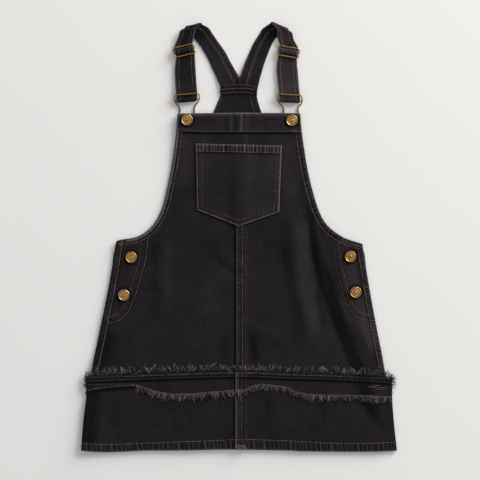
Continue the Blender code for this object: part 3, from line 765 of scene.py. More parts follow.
# Painted light and shade: stripes along which the colour is paler (height > 0) or darker (height < 0), mostly
# on the lit and the shaded flanks of the folds; on some ridges the paler colour is partly wear.
PAINTED_SHADES = [Fold(*row) for row in (
    (((101, 55), (102, 20), (103, -55), (106, -95), (120, -125), (131, -165), (136, -200)), 22, 0.62),
    (
        ((116, 72), (127, 25), (133, -36), (160, -120), (179, -172), (196, -215), (220, -275), (238, -335)),
        17, -1.5,
    ),
    (((98, 110), (110, 62), (119, 28), (126, -12)), 12, -0.75),
    (((-184, -145), (-196, -190), (-206, -245)), 24, -0.36),
    (((124, 50), (133, 5), (149, -50), (156, -70)), 7, 0.75),
    (((60, 20), (74, -35), (90, -100)), 17, -0.3),
    (((176, 10), (186, -40), (203, -115), (219, -165), (231, -205)), 21, 0.95),
    (((207, -120), (216, -160), (228, -205)), 14, 0.7),
    (((158, -118), (163, -131), (170, -155), (179, -180), (187, -208)), 8, -0.7),
    (((127, -82), (133, -105), (139, -130), (147, -158)), 8, -0.75),
    (((164, -85), (171, -105), (180, -130), (188, -152)), 8, 0.6),
    (((62, 190), (80, 110), (92, 40)), 30, 0.45), (((-84, 190), (-92, 120), (-98, 70)), 24, 0.6),
    (((-52, 190), (-60, 140), (-62, 60)), 16, 0.3), (((240, -195), (244, -225)), 12, 0.9),
    (((-119, 15), (-119, -50), (-117, -125)), 14, 0.3),
    (((-140, 10), (-141, -50), (-143, -100)), 12, -0.35),
    (((-52, 30), (-66, -5), (-72, -50)), 48, -0.4), (((-62, -70), (-60, -105), (-62, -140)), 30, 0.3),
    (((36, 30), (44, -5), (50, -50)), 24, -0.2), (((-50, -26), (-24, -48), (2, -62)), 13, -0.3),
    (((4, -130), (35, -149), (76, -170)), 12, 0.25), (((20, -155), (24, -182), (27, -215)), 14, -0.8),
    (((-24, -160), (-24, -185), (-24, -215)), 15, -0.6),
    (((-205, -150), (-224, -185), (-236, -228)), 24, -1.1),
    (((42, -246), (46, -275), (42, -312)), 22, -0.4),
    (((133, -250), (134, -280), (136, -315)), 16, -0.35),
    (((212, -250), (216, -275), (224, -300)), 20, -0.5),
    (((-250, -246), (-253, -300), (-258, -358)), 30, -1.5),
)]
BAND_LINE = through(((-257, -235.5), (-118, -230.2), (0, -227), (84, -230), (165, -232.5), (257, -238)), 10)
BAND_CENTRE, SEAM_DEPTH = -227.0, 11.0


def lay(x: Array, y: Array) -> Array:
    """The height of the front's upper face: its rest, its folds, and three sizes of gentle rumple."""
    height = FRONT_TOP + sum(fold.rise(x, y) for fold in FOLDS)
    return height + 0.34 * rumple(x, y, 46, 3) + 0.15 * rumple(x, y, 17, 5) + 0.05 * rumple(x, y, 6.5, 7)


def lap(x: Array) -> Array:
    """The rise of the right half over the felled lap, level to LAP_RIGHT and then falling."""
    return LAYER * soft((LAP_RIGHT + LAP_RAMP - x) / LAP_RAMP)


def over_lap(x: Array, ramp: float = LAP_RAMP) -> Array:
    """The rise of a piece that crosses the lap, with a ramp on each side of it."""
    rise = soft((LAP_RIGHT + ramp - x) / ramp) * soft((x - LAP_LEFT + ramp) / ramp)
    return LAYER * rise


def arch(x: Array) -> Array:
    """How far the band's sewn line runs from its height at the centre front."""
    return np.interp(x, BAND_LINE[:, 0], BAND_LINE[:, 1]) - BAND_CENTRE


@dataclass(frozen=True)
class Row:
    """A row of stitches: how far it is from its seam's line, how pale its thread, and how long a stitch."""

    distance: float = 0.0
    tone: float = 0.45
    length: float = 2.5
    far: float = 0.0  # how much darker its thread gets far from the centre front


STEP_WIDTH = 1.4  # within which doubled cloth rises
# DENT_SHADE paints shade into the dents of the stitch rows
DENT_WIDTH, DENT_DEPTH, DENT_SHADE = 0.9, 0.3, 0.7
EDGE_RADIUS, RUB_WIDTH, SHADE_WIDTH = 1.5, 1.4, 1.7
NOWHERE = -9.0  # the width of a seam with no doubled cloth


@dataclass
class Seam:
    """A turned edge or a felled seam: cloth doubled along a line, held by rows of stitches.

    With d the distance to the line and s the distance along it, the face rises by `rise` where d < width,
    sinks by a bell round each row, swells in ripples of s, and rounds down within a millimetre of an edge.
    """

    line: Array
    rows: tuple[Row, ...]  # to the left of the line's direction
    width: float
    rise: float = 0.45
    edge: float = 0.8
    ripple: float = 0.12
    wave: float = 7.0
    slant: float = 0.0
    rub: float = 0.35  # wear along the edge
    crest: float = 0.25  # wear on the ripples
    pucker: float = 0.0  # paler crests of the ripples, partly wear, and painted shade in the hollows between them
    fade: float = 0.0  # how much paler the doubled cloth is
    worn: float = 0.0  # wear all over it
    shade: float = 0.0  # painted shade: how much darker the cloth is painted right beside the line, where a shadow falls
    seed: float = 1.0
    sewn: bool = True

    def relief(self, x: Array, y: Array) -> tuple[Array, Array, Array]:
        """What the seam does to the face.

        Args:
            x, y: Plan positions.

        Returns:
            Height added, wear added, and wash added, which holds painted shade in the stitch dents and beside
            the line, and painted light and shade on the ripples.
        """
        gap, along = measure(x, y, self.line)
        inside = soft((self.width - gap) / STEP_WIDTH + 0.5)
        swing = wavy(along + self.slant * gap, self.wave, self.seed) * inside
        dents = sum((bump(gap - abs(row.distance), DENT_WIDTH) for row in self.rows), np.zeros_like(gap))
        height = self.rise * inside + self.ripple * swing - DENT_DEPTH * dents * (0.75 + 0.25 * swing)
        height -= self.edge * (1 - np.clip(gap / EDGE_RADIUS, 0, 1)) ** 2 if self.edge else 0
        wear = self.rub * bump(gap - 0.9, RUB_WIDTH) * bool(self.edge) + self.crest * np.clip(swing, 0, 1)
        wear += self.worn * inside
        wash = self.pucker * swing + self.fade * inside - DENT_SHADE * dents
        return height, wear, wash - self.shade * bump(gap, SHADE_WIDTH)

    def paths(self) -> list[tuple[Array, Row]]:
        """Its rows of stitches with their plan lines."""
        return [(beside(self.line, row.distance), row) for row in self.rows] if self.sewn else []


def flat_seam(
    line: Any, rows: tuple[Row, ...] = (), width: float = NOWHERE, crest: float = 0.0, **marks: Any
) -> Seam:
    """A seam with no rise, edge or ripples of its own, and marks by the names of a seam's fields."""
    return Seam(np.asarray(line, float), rows, width, rise=0.0, edge=0.0, ripple=0.0, crest=crest, **marks)


def rubbed(line: Any, width: float, amount: float, ripple: float = 0.0) -> Seam:
    """A stripe worn pale along a line, with nothing sewn."""
    return flat_seam(line, width=width, wave=5.0, crest=ripple, worn=amount)


def shaded(line: Any, depth: float = 1.4) -> Seam:
    """A line beside which a shadow is painted into the cloth's colour: the shade of another piece, of a fold or
    of an edge.
    """
    return flat_seam(line, shade=depth)


def ring_round(node: str, radius: float = 10.4) -> Array:
    """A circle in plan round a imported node."""
    angle = np.linspace(0, 2 * math.pi, 17)
    return seat(node)[:2] + radius * np.column_stack([np.cos(angle), np.sin(angle)])


@dataclass
class Sewing:
    """Machine stitches, gathered along lines and then made as one piece: a bent four-sided tube each."""

    name: str
    pitch: float = 3.0
    radius: float = 0.29
    profile: tuple[float, ...] = (-0.3, 0.16, 0.24, 0.16, -0.3)  # height above the cloth along a stitch
    taper: tuple[float, ...] = (0.75, 1.0, 1.0, 1.0, 0.75)
    jitter: float = 0.25
    mottle: float = 0.13
    drift: float = 0.16
    drift_wave: float = 23.0
    far_start: float = 160.0  # how far from the centre front a thread begins to darken
    far_reach: float = 60.0
    centres: list[Array] = field(default_factory=list)
    ups: list[Array] = field(default_factory=list)
    tones: list[Array] = field(default_factory=list)

    def sew(self, path: Array, ups: Array, row: Row = Row()) -> None:
        """Adds a row of stitches.

        Args:
            path: Points in space along the row.
            ups: The way out of the cloth at each of them.
            row: Its thread and its stitches.
        """
        travelled, count = lengths(path), len(self.centres)
        start = np.arange(0.5 * self.pitch, travelled[-1] - 0.3 * self.pitch, self.pitch)
        rng = np.random.default_rng(count)
        start = start + rng.uniform(-self.jitter, self.jitter, len(start))
        drift = self.drift * wavy(start, self.drift_wave, count)
        dim = row.far * soft((np.abs(at(path[:, :2], start)[:, 0]) - self.far_start) / self.far_reach)
        self.tones.append(np.clip(row.tone - dim + drift + rng.normal(0, self.mottle, len(start)), 0, 1))
        places = start[:, None] + row.length * np.linspace(-0.5, 0.5, len(self.profile))
        up = sample(ups, travelled, places)
        self.centres.append(at(path, places) + up * np.array(self.profile)[:, None])
        self.ups.append(up)

    def sew_face(self, path: Array, face: Surface, up: float = 1.0, row: Row = Row()) -> None:
        """Adds a row along a plan line, on the upper side of a face, or on its lower side where up is -1."""
        dense = at(path, np.arange(0, lengths(path)[-1], 0.8))
        points = np.column_stack([dense, face(dense[:, 0], dense[:, 1])])
        self.sew(points, np.broadcast_to([0, 0, up], points.shape), row)

    def build(self, wardrobe: Wardrobe) -> Any:
        """Makes the gathered stitches.

        Args:
            wardrobe: The materials.

        Returns:
            The object.
        """
        centres, ups, tone = (np.concatenate(parts) for parts in (self.centres, self.ups, self.tones))
        points, faces = tubes(centres, self.radius * np.array(self.taper), ups, 4)
        marks = {"tone": np.repeat(tone, len(points) // len(tone))}
        return finish_piece(mesh_object(self.name, points, faces, marks, 120), wardrobe.thread, None)


class Cloth:
    """A piece of denim over a grid. Each kind says its plan, its rest and its seams."""

    name = "cloth"
    nodes: tuple[str, ...] = ()
    tint = 0.0
    seams: list[Seam]

    def plan(self) -> Pair:
        """The grid's plan positions."""
        raise NotImplementedError

    def rest(self, x: Array, y: Array) -> Array:
        """The height of the upper face before its seams."""
        raise NotImplementedError

    def under(self, x: Array, y: Array) -> Array:
        """The height of the lower face."""
        return self.rest(x, y) - CLOTH

    def base_wash_and_shade(self, x: Array, y: Array) -> Array:
        """How pale the cloth is before its seams: washed out in two sizes of blotches, plus its tint, and
        painted light and shade along a table of stripes.
        """
        blotches = 0.2 * rumple(x, y, 34, 11) + 0.16 * rumple(x, y, 12, 13)
        return blotches + sum(fade.rise(x, y) for fade in PAINTED_SHADES) + self.tint

    def face(self, x: Array, y: Array) -> tuple[Array, Array, Array]:
        """The upper face: its rest with every seam's relief added.

        Args:
            x, y: Plan positions.

        Returns:
            Height, wear, and the wash with its painted light and shade.
        """
        height, wear, wash = self.rest(x, y), np.zeros_like(x), self.base_wash_and_shade(x, y)
        for seam in self.seams:
            more_height, more_wear, more_wash_and_shade = seam.relief(x, y)
            height, wear, wash = height + more_height, wear + more_wear, wash + more_wash_and_shade
        return height, wear, wash

    def top(self, x: Array, y: Array) -> Array:
        """The height of the upper face."""
        return self.face(x, y)[0]

    def build(self, wardrobe: Wardrobe, sewing: Sewing) -> Any:
        """Makes the piece and sews its seams.

        Args:
            wardrobe: The materials.
            sewing: Takes its stitches.

        Returns:
            The object.
        """
        x, y = self.plan()
        height, wear, wash = self.face(x, y)
        marks = {"wear": wear, "wash": wash, "weave": np.stack([x, y, 0 * x], axis=-1) * MM}
        piece = shell(self.name, x, y, height, self.under(x, y), marks)
        for seam in self.seams:
            for path, row in seam.paths():
                sewing.sew_face(path, self.top, row=row)
        return finish_piece(piece, wardrobe.denim, Slot.DENIM, *self.nodes)


# ---- The front ----


@dataclass(frozen=True)
class FrontPattern:
    """A half of the front: its outline, how it is sewn, and how worn. Rows are distances from the edge."""

    armhole: Line
    flank: Line
    placket: Line
    armhole_row: float
    armhole_wear: float
    underarm_row: float
    side_row: float
    side_tone: float
    side_rub: float
    side_crest: float
    # painted shade along the side edge
    side_shade: float
    placket_row: float
    placket_tones: Span  # of the row nearer the side, and of the other


FRONTS = {
    Side.LEFT: FrontPattern(
        armhole=(
            (-102.1, 203), (-107, 154.8), (-115.7, 101.5), (-128.3, 48.2), (-145, 18.5), (-168.3, 1.5),
            (-200.5, -5), (-205.3, -10),
        ),
        flank=((-205.3, -10), (-215.2, -71.8), (-228.5, -138.5), (-247, -226), (-249.2, -238)),
        placket=(
            (-156.5, 0), (-161.5, -39), (-169.3, -67), (-179.5, -100.5), (-190, -122), (-204, -134.5),
            (-224, -139),
        ),
        armhole_row=9.0, armhole_wear=1.25, underarm_row=5.4, side_row=10.5, side_tone=0.62, side_rub=0.05,
        side_crest=0.34, side_shade=0.8, placket_row=5.2, placket_tones=(0.38, 0.58),
    ),
    Side.RIGHT: FrontPattern(
        armhole=(
            (101.5, 203), (107.2, 154.8), (116.5, 101.5), (131.3, 48.2), (146.5, 20.5), (170.3, 1.5),
            (191.3, -6.8), (205.3, -11),
        ),
        flank=((205.3, -11), (214.8, -71.8), (226.8, -138.5), (244, -226), (246.8, -238)),
        placket=(
            (160.6, -2), (166.7, -48), (176.5, -89.7), (184.6, -113), (196, -126.5), (210, -132.5),
            (226, -134.5),
        ),
        armhole_row=10.0, armhole_wear=0.25, underarm_row=6.0, side_row=8.8, side_tone=0.48, side_rub=0.34,
        side_crest=0.5, side_shade=0.0, placket_row=4.7, placket_tones=(0.42, 0.34),
    ),
}
HEM_SIDES = {
    Side.LEFT: ((-255.4, -226), (-254.6, -262), (-259.2, -305), (-263.2, -357)),
    Side.RIGHT: ((256, -226), (254.8, -262), (257.7, -305), (263.2, -357)),
}
BAND_FOOT = (
    (-257, -257.5), (-227, -252), (-174, -248), (-150, -254.5), (-124, -261), (-92, -262.3), (-64, -261),
    (-6, -256), (8, -255.5), (33, -246.5), (57, -248), (80, -252), (98, -260), (140, -264), (219, -265.5),
    (257, -268),
)
BACK_BAND_FOOT = ((-257, -257.5), (-130, -255), (0, -257), (130, -254), (257, -258))
HEM_HEAD, HEM_FOOT, HEM_TURN, HEM_ARCH_END = -240.0, -353.5, 15.0, -292.0
HEM_SAG = (
    (-262, 1.8), (-250, 3.0), (-226, 4.3), (-196, 3.6), (-156, 1.8), (-116, 1.6), (-76, 1.1), (-36, 0.1),
    (0, 0.1), (44, 0.9), (84, 1.7), (104, 2.9), (144, 3.4), (184, 3.7), (224, 3.5), (250, 2.6), (262, 2.0),
)
HEM_ROW = (
    (-262, 12.8), (-150, 12.3), (-92, 14.6), (-40, 15.2), (5, 17.4), (60, 16.5), (125, 15.8), (155, 14.2),
    (262, 14.1),
)
LEFT_SHADOW = 1.2  # how far left of the lap's fold its painted shadow lies


def hem_sway(x: Array) -> Array:
    """How much lower than at the centre the hem hangs, from its smoothed table."""
    return np.interp(x, *through(HEM_SAG, 6).T)


def hem_turn(x: Array) -> Array:
    """How far from its fold the hem is sewn, from its smoothed table."""
    return np.interp(x, *through(HEM_ROW, 6).T)


def to_band(x: Array) -> Array:
    """How far above HEM_HEAD a hem panel is sewn to the band."""
    return BAND_CENTRE - SEAM_DEPTH - 0.8 + arch(x) - HEM_HEAD


def centre_seam(
    head: float, foot: float, rub: float, tones: Span, seed: float, shift: float = 0.0
) -> Seam:
    """The felled seam down the centre front: two rows, a dark one between, a rubbed fold, and fine puckers.

    Args:
        head: Its upper end.
        foot: Its lower end.
        rub: How worn the fold is.
        tones: How pale its two threads are.
        seed: Says how its puckers fall.
        shift: How far to the left of LAP_LEFT it lies.

    Returns:
        The seam.
    """
    line = np.array([[LAP_LEFT - shift, head], [LAP_LEFT - shift, foot]])
    threads = (Row(4.5, tones[0], 1.9), Row(7.3, 0.03, 1.3), Row(10.4, tones[1]))
    return Seam(
        line, threads, width=11.8, rise=0.1, ripple=0.16, wave=3.4, rub=rub, crest=0.12, pucker=0.4,
        fade=-0.1, seed=seed,
    )


def lap_shadow(head: float, foot: float, shift: float = 0.0) -> Seam:
    """The painted shadow on the left half beside the centre seam's fold, `shift` to the left of LAP_LEFT."""
    x = LAP_LEFT - shift - LEFT_SHADOW
    return shaded(((x, head), (x, foot)), 2.2)


@dataclass
class FrontHalf(Cloth):
    """Half of the front, bib and skirt in one, with its armhole, side and placket sewn."""

    side: Side
    step: float = 1.12
    column: float = 1.85
    sag: float = 1.3
    # the line just under the bib band's foot, along which its shadow is painted
    bib_band_shadow: Line = ((-110.0, 173.2), (108.0, 173.2))

    def __post_init__(self) -> None:
        """Works out its outline and its seams."""
        word, inward, cut = self.side.word, -self.side.value, FRONTS[self.side]
        self.name, self.nodes = f"front_{word}_cloth", (f"front_{word}",)
        armhole, flank, placket = through(cut.armhole, 10), through(cut.flank, 6), through(cut.placket, 5)
        self.edge = np.vstack([armhole, flank[1:]])
        self.inner = LAP_LEFT if self.side is Side.RIGHT else LAP_END
        wear = cut.armhole_wear
        shadowed, underarm, worn = (int(share * len(armhole)) for share in (0.72, 0.74, 0.8))
        placket_rows = tuple(
            Row(way * cut.placket_row * inward, tone) for way, tone in zip((-1, 1), cut.placket_tones)
        )
        self.seams = [
            Seam(
                armhole, (Row(cut.armhole_row * inward, 0.5),), width=cut.armhole_row + 1.4, rub=0.3,
                pucker=0.3, seed=2,
            ),
            flat_seam(armhole[underarm:], (Row(cut.underarm_row * inward, 0.42),)),
            Seam(
                flank, (Row(cut.side_row * inward, cut.side_tone),), width=cut.side_row + 1.2, edge=0.9,
                ripple=0.15, wave=5.0, slant=0.7, rub=cut.side_rub, crest=cut.side_crest, pucker=0.9,
                shade=cut.side_shade, seed=3,
            ),
            Seam(
                placket, placket_rows, width=6.2, rise=0.35, edge=0.0, ripple=0.08, wave=8.0, crest=0.1,
                pucker=0.2, seed=4,
            ),
            rubbed(beside(armhole[:worn], 3.1 * inward), 1.6, wear * 0.55, wear * 0.5),
            # The shaded lines below paint shade into the cloth's colour: inside the armhole, beside the side
            # row, on each side of the placket's outer row, round the pocket, under the bib band, and as contact
            # shadows round the side buttons.
            shaded(beside(armhole[:shadowed], 6.5 * inward), 0.7),
            rubbed(beside(armhole, (cut.armhole_row + 2.6) * inward), 1.4, 0.05, 0.12),
            shaded(beside(flank, (cut.side_row + 2.1) * inward), 0.8),
            shaded(beside(placket, (cut.placket_row - 2.3) * inward), 0.55),
            shaded(beside(placket, (cut.placket_row + 2.2) * inward), 0.3), shaded(BibPocket.corners),
            shaded(self.bib_band_shadow, 1.8),
            *(shaded(ring_round(f"button_side_{word}_{level}"), 4.0) for level in ("upper", "lower")),
        ]
        if self.side is Side.RIGHT:
            self.seams.append(centre_seam(120.0, BAND_CENTRE - SEAM_DEPTH, 0.62, (0.24, 0.36), seed=5.0))
        else:
            self.seams.append(lap_shadow(120.0, -240.0))

    def plan(self) -> Pair:
        """Rows at even steps of the outer edge's length, bent onto the band's arch near their foot."""
        total = lengths(self.edge)[-1]
        rows = at(self.edge, total * ticks(total, self.step, 0.8, 8))
        width = abs(self.edge[:, 0] - self.inner).mean()
        shares = ticks(width, self.column, 0.75, 16, start=self.side is Side.RIGHT)
        if self.side is Side.LEFT:
            shares = 1 - shares[::-1]
        left, right = from_left(self.side, self.inner, rows[:, :1])
        x = left + (right - left) * shares
        level = rows[:, 1:] + 0 * x
        return x, level + arch(x) * soft((-200 - level) / 38)

    def rest(self, x: Array, y: Array) -> Array:
        """The common lie, less the drop along the side, the bib's sagging edge, and with the lap.

        Args:
            x, y: Plan positions.

        Returns:
            The height before the seams.
        """
        inward = np.abs(edge_x(self.edge, y) - x)
        skirt = soft(-y / 30) * soft((y + 200) / 22)
        drop = EDGE_DROP * skirt * soft(1 - inward / EDGE_REACH)
        sag = self.sag * soft((y - 15) / 30) * soft((150 - y) / 30) * soft(1 - inward / 26)
        level = LAYER * soft((x - LAP_LEFT + 17.0) / 17.0) * (x < LAP_LEFT) * soft((y - 104) / 12)
        return lay(x, y) - drop - sag + (lap(x) if self.side is Side.RIGHT else level)


@dataclass
class HemPanel(Cloth):
    """Half of the front's hem panel, its hem turned up and roped by its row of stitches."""

    side: Side
    row: float = 1.0
    column: float = 1.35
    tint: float = -0.12
    lift: float = 2.4
    reach: float = 260.6

    def __post_init__(self) -> None:
        """Works out its edge and its seams."""
        word = self.side.word
        self.name, self.nodes = f"hem_front_{word}_cloth", (f"hem_front_{word}",)
        self.edge = through(HEM_SIDES[self.side], 8)
        self.inner = LAP_LEFT - HEM_SHIFT if self.side is Side.RIGHT else LAP_END
        x = np.linspace(*sorted((self.inner, self.side.value * self.reach)), 40)
        foot = np.column_stack([x, HEM_FOOT - hem_sway(x)])
        self.seams = [
            Seam(
                foot, (), width=HEM_TURN, rise=0.5, edge=0.7, ripple=0.36, slant=0.12, rub=0.6, crest=0.34,
                pucker=0.9, seed=6,
            ),
            flat_seam(foot + [0, 1] * hem_turn(x)[:, None], (Row(0.0, 0.42),)),
            Seam(self.edge, (), width=8.0, rise=0.3, ripple=0.0, rub=0.0, crest=0.0, seed=7),
            # painted shadow under the band's foot and its fray
            shaded(through(BAND_FOOT, 4) - [0, 3.5], 1.6),
        ]
        if self.side is Side.RIGHT:
            self.seams.append(centre_seam(-238.0, HEM_FOOT, 1.0, (0.5, 0.32), seed=8.0, shift=HEM_SHIFT))
            self.seams.append(rubbed(((-4, -350), (7, -350)), 5.0, 0.5))
        else:
            self.seams.append(lap_shadow(-238.0, HEM_FOOT, HEM_SHIFT))

    def plan(self) -> Pair:
        """Level rows, bent onto the band's arch at their head and onto the hem's sway at their foot."""
        level = HEM_HEAD + (HEM_FOOT - HEM_HEAD) * ticks(HEM_HEAD - HEM_FOOT, self.row, 0.7, 12)[:, None]
        left, right = from_left(self.side, self.inner, edge_x(self.edge, level))
        x = left + (right - left) * ticks(250, self.column, 0.75, 12)
        upper = soft((level - HEM_ARCH_END) / (HEM_HEAD - HEM_ARCH_END))
        return x, level + to_band(x) * upper - hem_sway(x) * (1 - upper)

    def rest(self, x: Array, y: Array) -> Array:
        """The common lie, less the drop along the side, and with the lap.

        Args:
            x, y: Plan positions.

        Returns:
            The height before the seams.
        """
        inward = np.abs(edge_x(self.edge, y) - x)
        drop = EDGE_DROP * soft((-276 - y) / 16) * soft(1 - inward / EDGE_REACH)
        lift = self.lift * soft((-262 - y) / 30) * soft((-x - 222) / 34) if self.side is Side.LEFT else 0
        return lay(x, y) - drop + lift + (lap(x) if self.side is Side.RIGHT else 0)

    def under(self, x: Array, y: Array) -> Array:
        """One wall below the upper face, and two below it within the turned hem."""
        turned = soft((HEM_FOOT - hem_sway(x) + HEM_TURN - y) / 1.5 + 0.5)
        return np.maximum(self.rest(x, y) - CLOTH * (1 + turned), LAYER - 0.1)


@dataclass
class BibBand(Cloth):
    """The band along the top of the bib, its upper edge folded and rubbed."""

    head: float = 206.5
    foot: float = 174.6
    head_left: float = -102.3
    head_right: float = 101.7
    foot_left: float = -105.0
    foot_right: float = 103.9

    def __post_init__(self) -> None:
        """Works out its seams."""
        self.name, self.nodes = "bib_band_cloth", ("bib_band",)
        head = ((self.head_right, self.head), (0, self.head + 0.4), (self.head_left, self.head - 0.6))
        level = self.foot
        foot = ((self.foot_left, level + 2.2), (-60, level), (0, level), (self.foot_right, level))
        self.head_line, self.foot_line = through(head, 12), through(foot, 12)
        left = np.array([[self.head_left, self.head], [self.foot_left, self.foot]])
        right = np.array([[self.foot_right, self.foot], [self.head_right, self.head]])
        ends = {"width": 5.0, "rise": 0.3, "sewn": False}
        self.seams = [
            Seam(
                self.head_line, (Row(4.0, 0.55),), width=12.0, rise=0.35, edge=1.1, ripple=0.1, wave=8.0,
                rub=0.9, crest=0.0, seed=9,
            ),
            Seam(
                self.foot_line, (Row(2.2),), width=4.0, rise=0.3, edge=0.9, ripple=0.13, wave=9.0, rub=0.5,
                crest=0.1, seed=10, sewn=False,
            ),
            Seam(left, (Row(4.0),), rub=0.8, seed=11, **ends),
            Seam(right, (Row(4.0),), rub=0.3, seed=12, **ends),
            # painted contact shadows round the bib's buttons
            *(shaded(ring_round(f"button_bib_{side.word}"), 4.0) for side in Side),
            rubbed(((-12.5, 202), (-12.5, 180)), 3.3, 0.26), rubbed(((3.6, 202), (3.6, 177)), 2.8, 0.33),
            flat_seam(((-104.4, 181.0), (-90, 180.4), (-76, 179.0)), (Row(0.0, 0.32),)),
            flat_seam(((86.0, 176.6), (103.2, 176.9)), (Row(0.0, 0.62),)),
        ]

    def base_wash_and_shade(self, x: Array, y: Array) -> Array:
        """Paler to the right, in soft upright bars that are strongest at the centre seam, with painted shade in
        dark bars at the lap's fold and left of it.
        """
        bars = 0.2 * rumple(x, 0.1 * y, 7.5, 43) - 0.8 * bump(x + 4.2, 2.0) - 0.35 * bump(x + 22, 4.0)
        return super().base_wash_and_shade(x, y) + bars * soft((205 - y) / 16) + 0.12 + 0.3 * soft((x + 60) / 120)

    def plan(self) -> Pair:
        """Columns across between its two slightly slanted ends."""
        share = ticks(self.head - self.foot, 1.0, 0.6, 8)[:, None]
        left = self.head_left + (self.foot_left - self.head_left) * share
        right = self.head_right + (self.foot_right - self.head_right) * share
        x = left + (right - left) * ticks(204, 0.95, 0.6, 8)
        head = np.interp(x, self.head_line[::-1, 0], self.head_line[::-1, 1])
        foot = np.interp(x, self.foot_line[:, 0], self.foot_line[:, 1])
        return x, head + (foot - head) * share

    def rest(self, x: Array, y: Array) -> Array:
        """One layer above the common lie, with the puckers where it crosses the centre seam."""
        return lay(x, y) + LAYER + over_lap(x, 9.0) + 0.12 * np.sin(x / 1.45) * bump(x - 2, 13)

    def under(self, x: Array, y: Array) -> Array:
        """One wall below, and down round the front's upper edge at its head."""
        return self.rest(x, y) - CLOTH - 1.3 * soft((y - self.head + 3) / 1.5)


@dataclass
class BibPocket(Cloth):
    """The patch pocket: a hemmed mouth, slightly tapered sides, a pointed foot, and two rows round it."""

    corners: Line = ((-72.5, 155.7), (-70.3, 45.2), (-0.3, 17.7), (66.7, 41.5), (71.2, 152.3))
    mouth_hem: Line = ((71.2, 137.8), (-72.5, 141.2))

    def __post_init__(self) -> None:
        """Works out its seams."""
        self.name, self.nodes = "bib_pocket_cloth", ("bib_pocket",)
        outline = np.array(self.corners, float)
        self.seams = [
            Seam(
                outline, (Row(2.1, 0.32), Row(10.2, 0.18, 2.0)), width=11.4, rise=0.35, edge=0.9, wave=3.6,
                rub=0.7, crest=0.2, pucker=0.4, seed=13,
            ),
            Seam(
                outline[[4, 0]], (Row(2.6, 0.3, 1.9), Row(12.3, 0.5, 2.0)), width=13.5, rise=0.4, edge=0.9,
                ripple=0.24, wave=5.6, rub=0.4, crest=0.75, pucker=1.3, seed=14,
            ),
            # painted shadow under the mouth's hem
            shaded(self.mouth_hem, 1.3),
        ]

    def base_wash_and_shade(self, x: Array, y: Array) -> Array:
        """Painted shade along the crease left of the centre, and paler right of it."""
        crease = bump(x + 8, 9) * soft((135 - y) / 60)
        return super().base_wash_and_shade(x, y) - 0.55 * crease + 0.12 + 0.4 * soft((x + 14) / 50)

    def plan(self) -> Pair:
        """Columns from the mouth to the pointed foot, which lean in as the sides taper."""
        top_left, foot_left, point, foot_right, top_right = self.corners
        top_x = top_left[0] + (top_right[0] - top_left[0]) * ticks(143, 1.15, 0.6, 10)
        top_y = np.interp(top_x, *zip(top_left, top_right))
        taper = np.interp(top_x, [top_left[0], -24, 32, top_right[0]], [2.2, 0, 0, -4.5])
        foot_y = np.interp(top_x + taper, *zip(foot_left, point, foot_right))
        share = ticks(120, 1.15, 0.6, 10)[:, None]
        return top_x + taper * share, top_y + (foot_y - top_y) * share

    def rest(self, x: Array, y: Array) -> Array:
        """One layer above the common lie and the lap, with a shallow crease left of the centre."""
        crease = 0.3 * bump(x + 9, 8) * soft((y - 40) / 30) * soft((145 - y) / 40)
        return lay(x, y) + LAYER + over_lap(x, 17.0) - crease


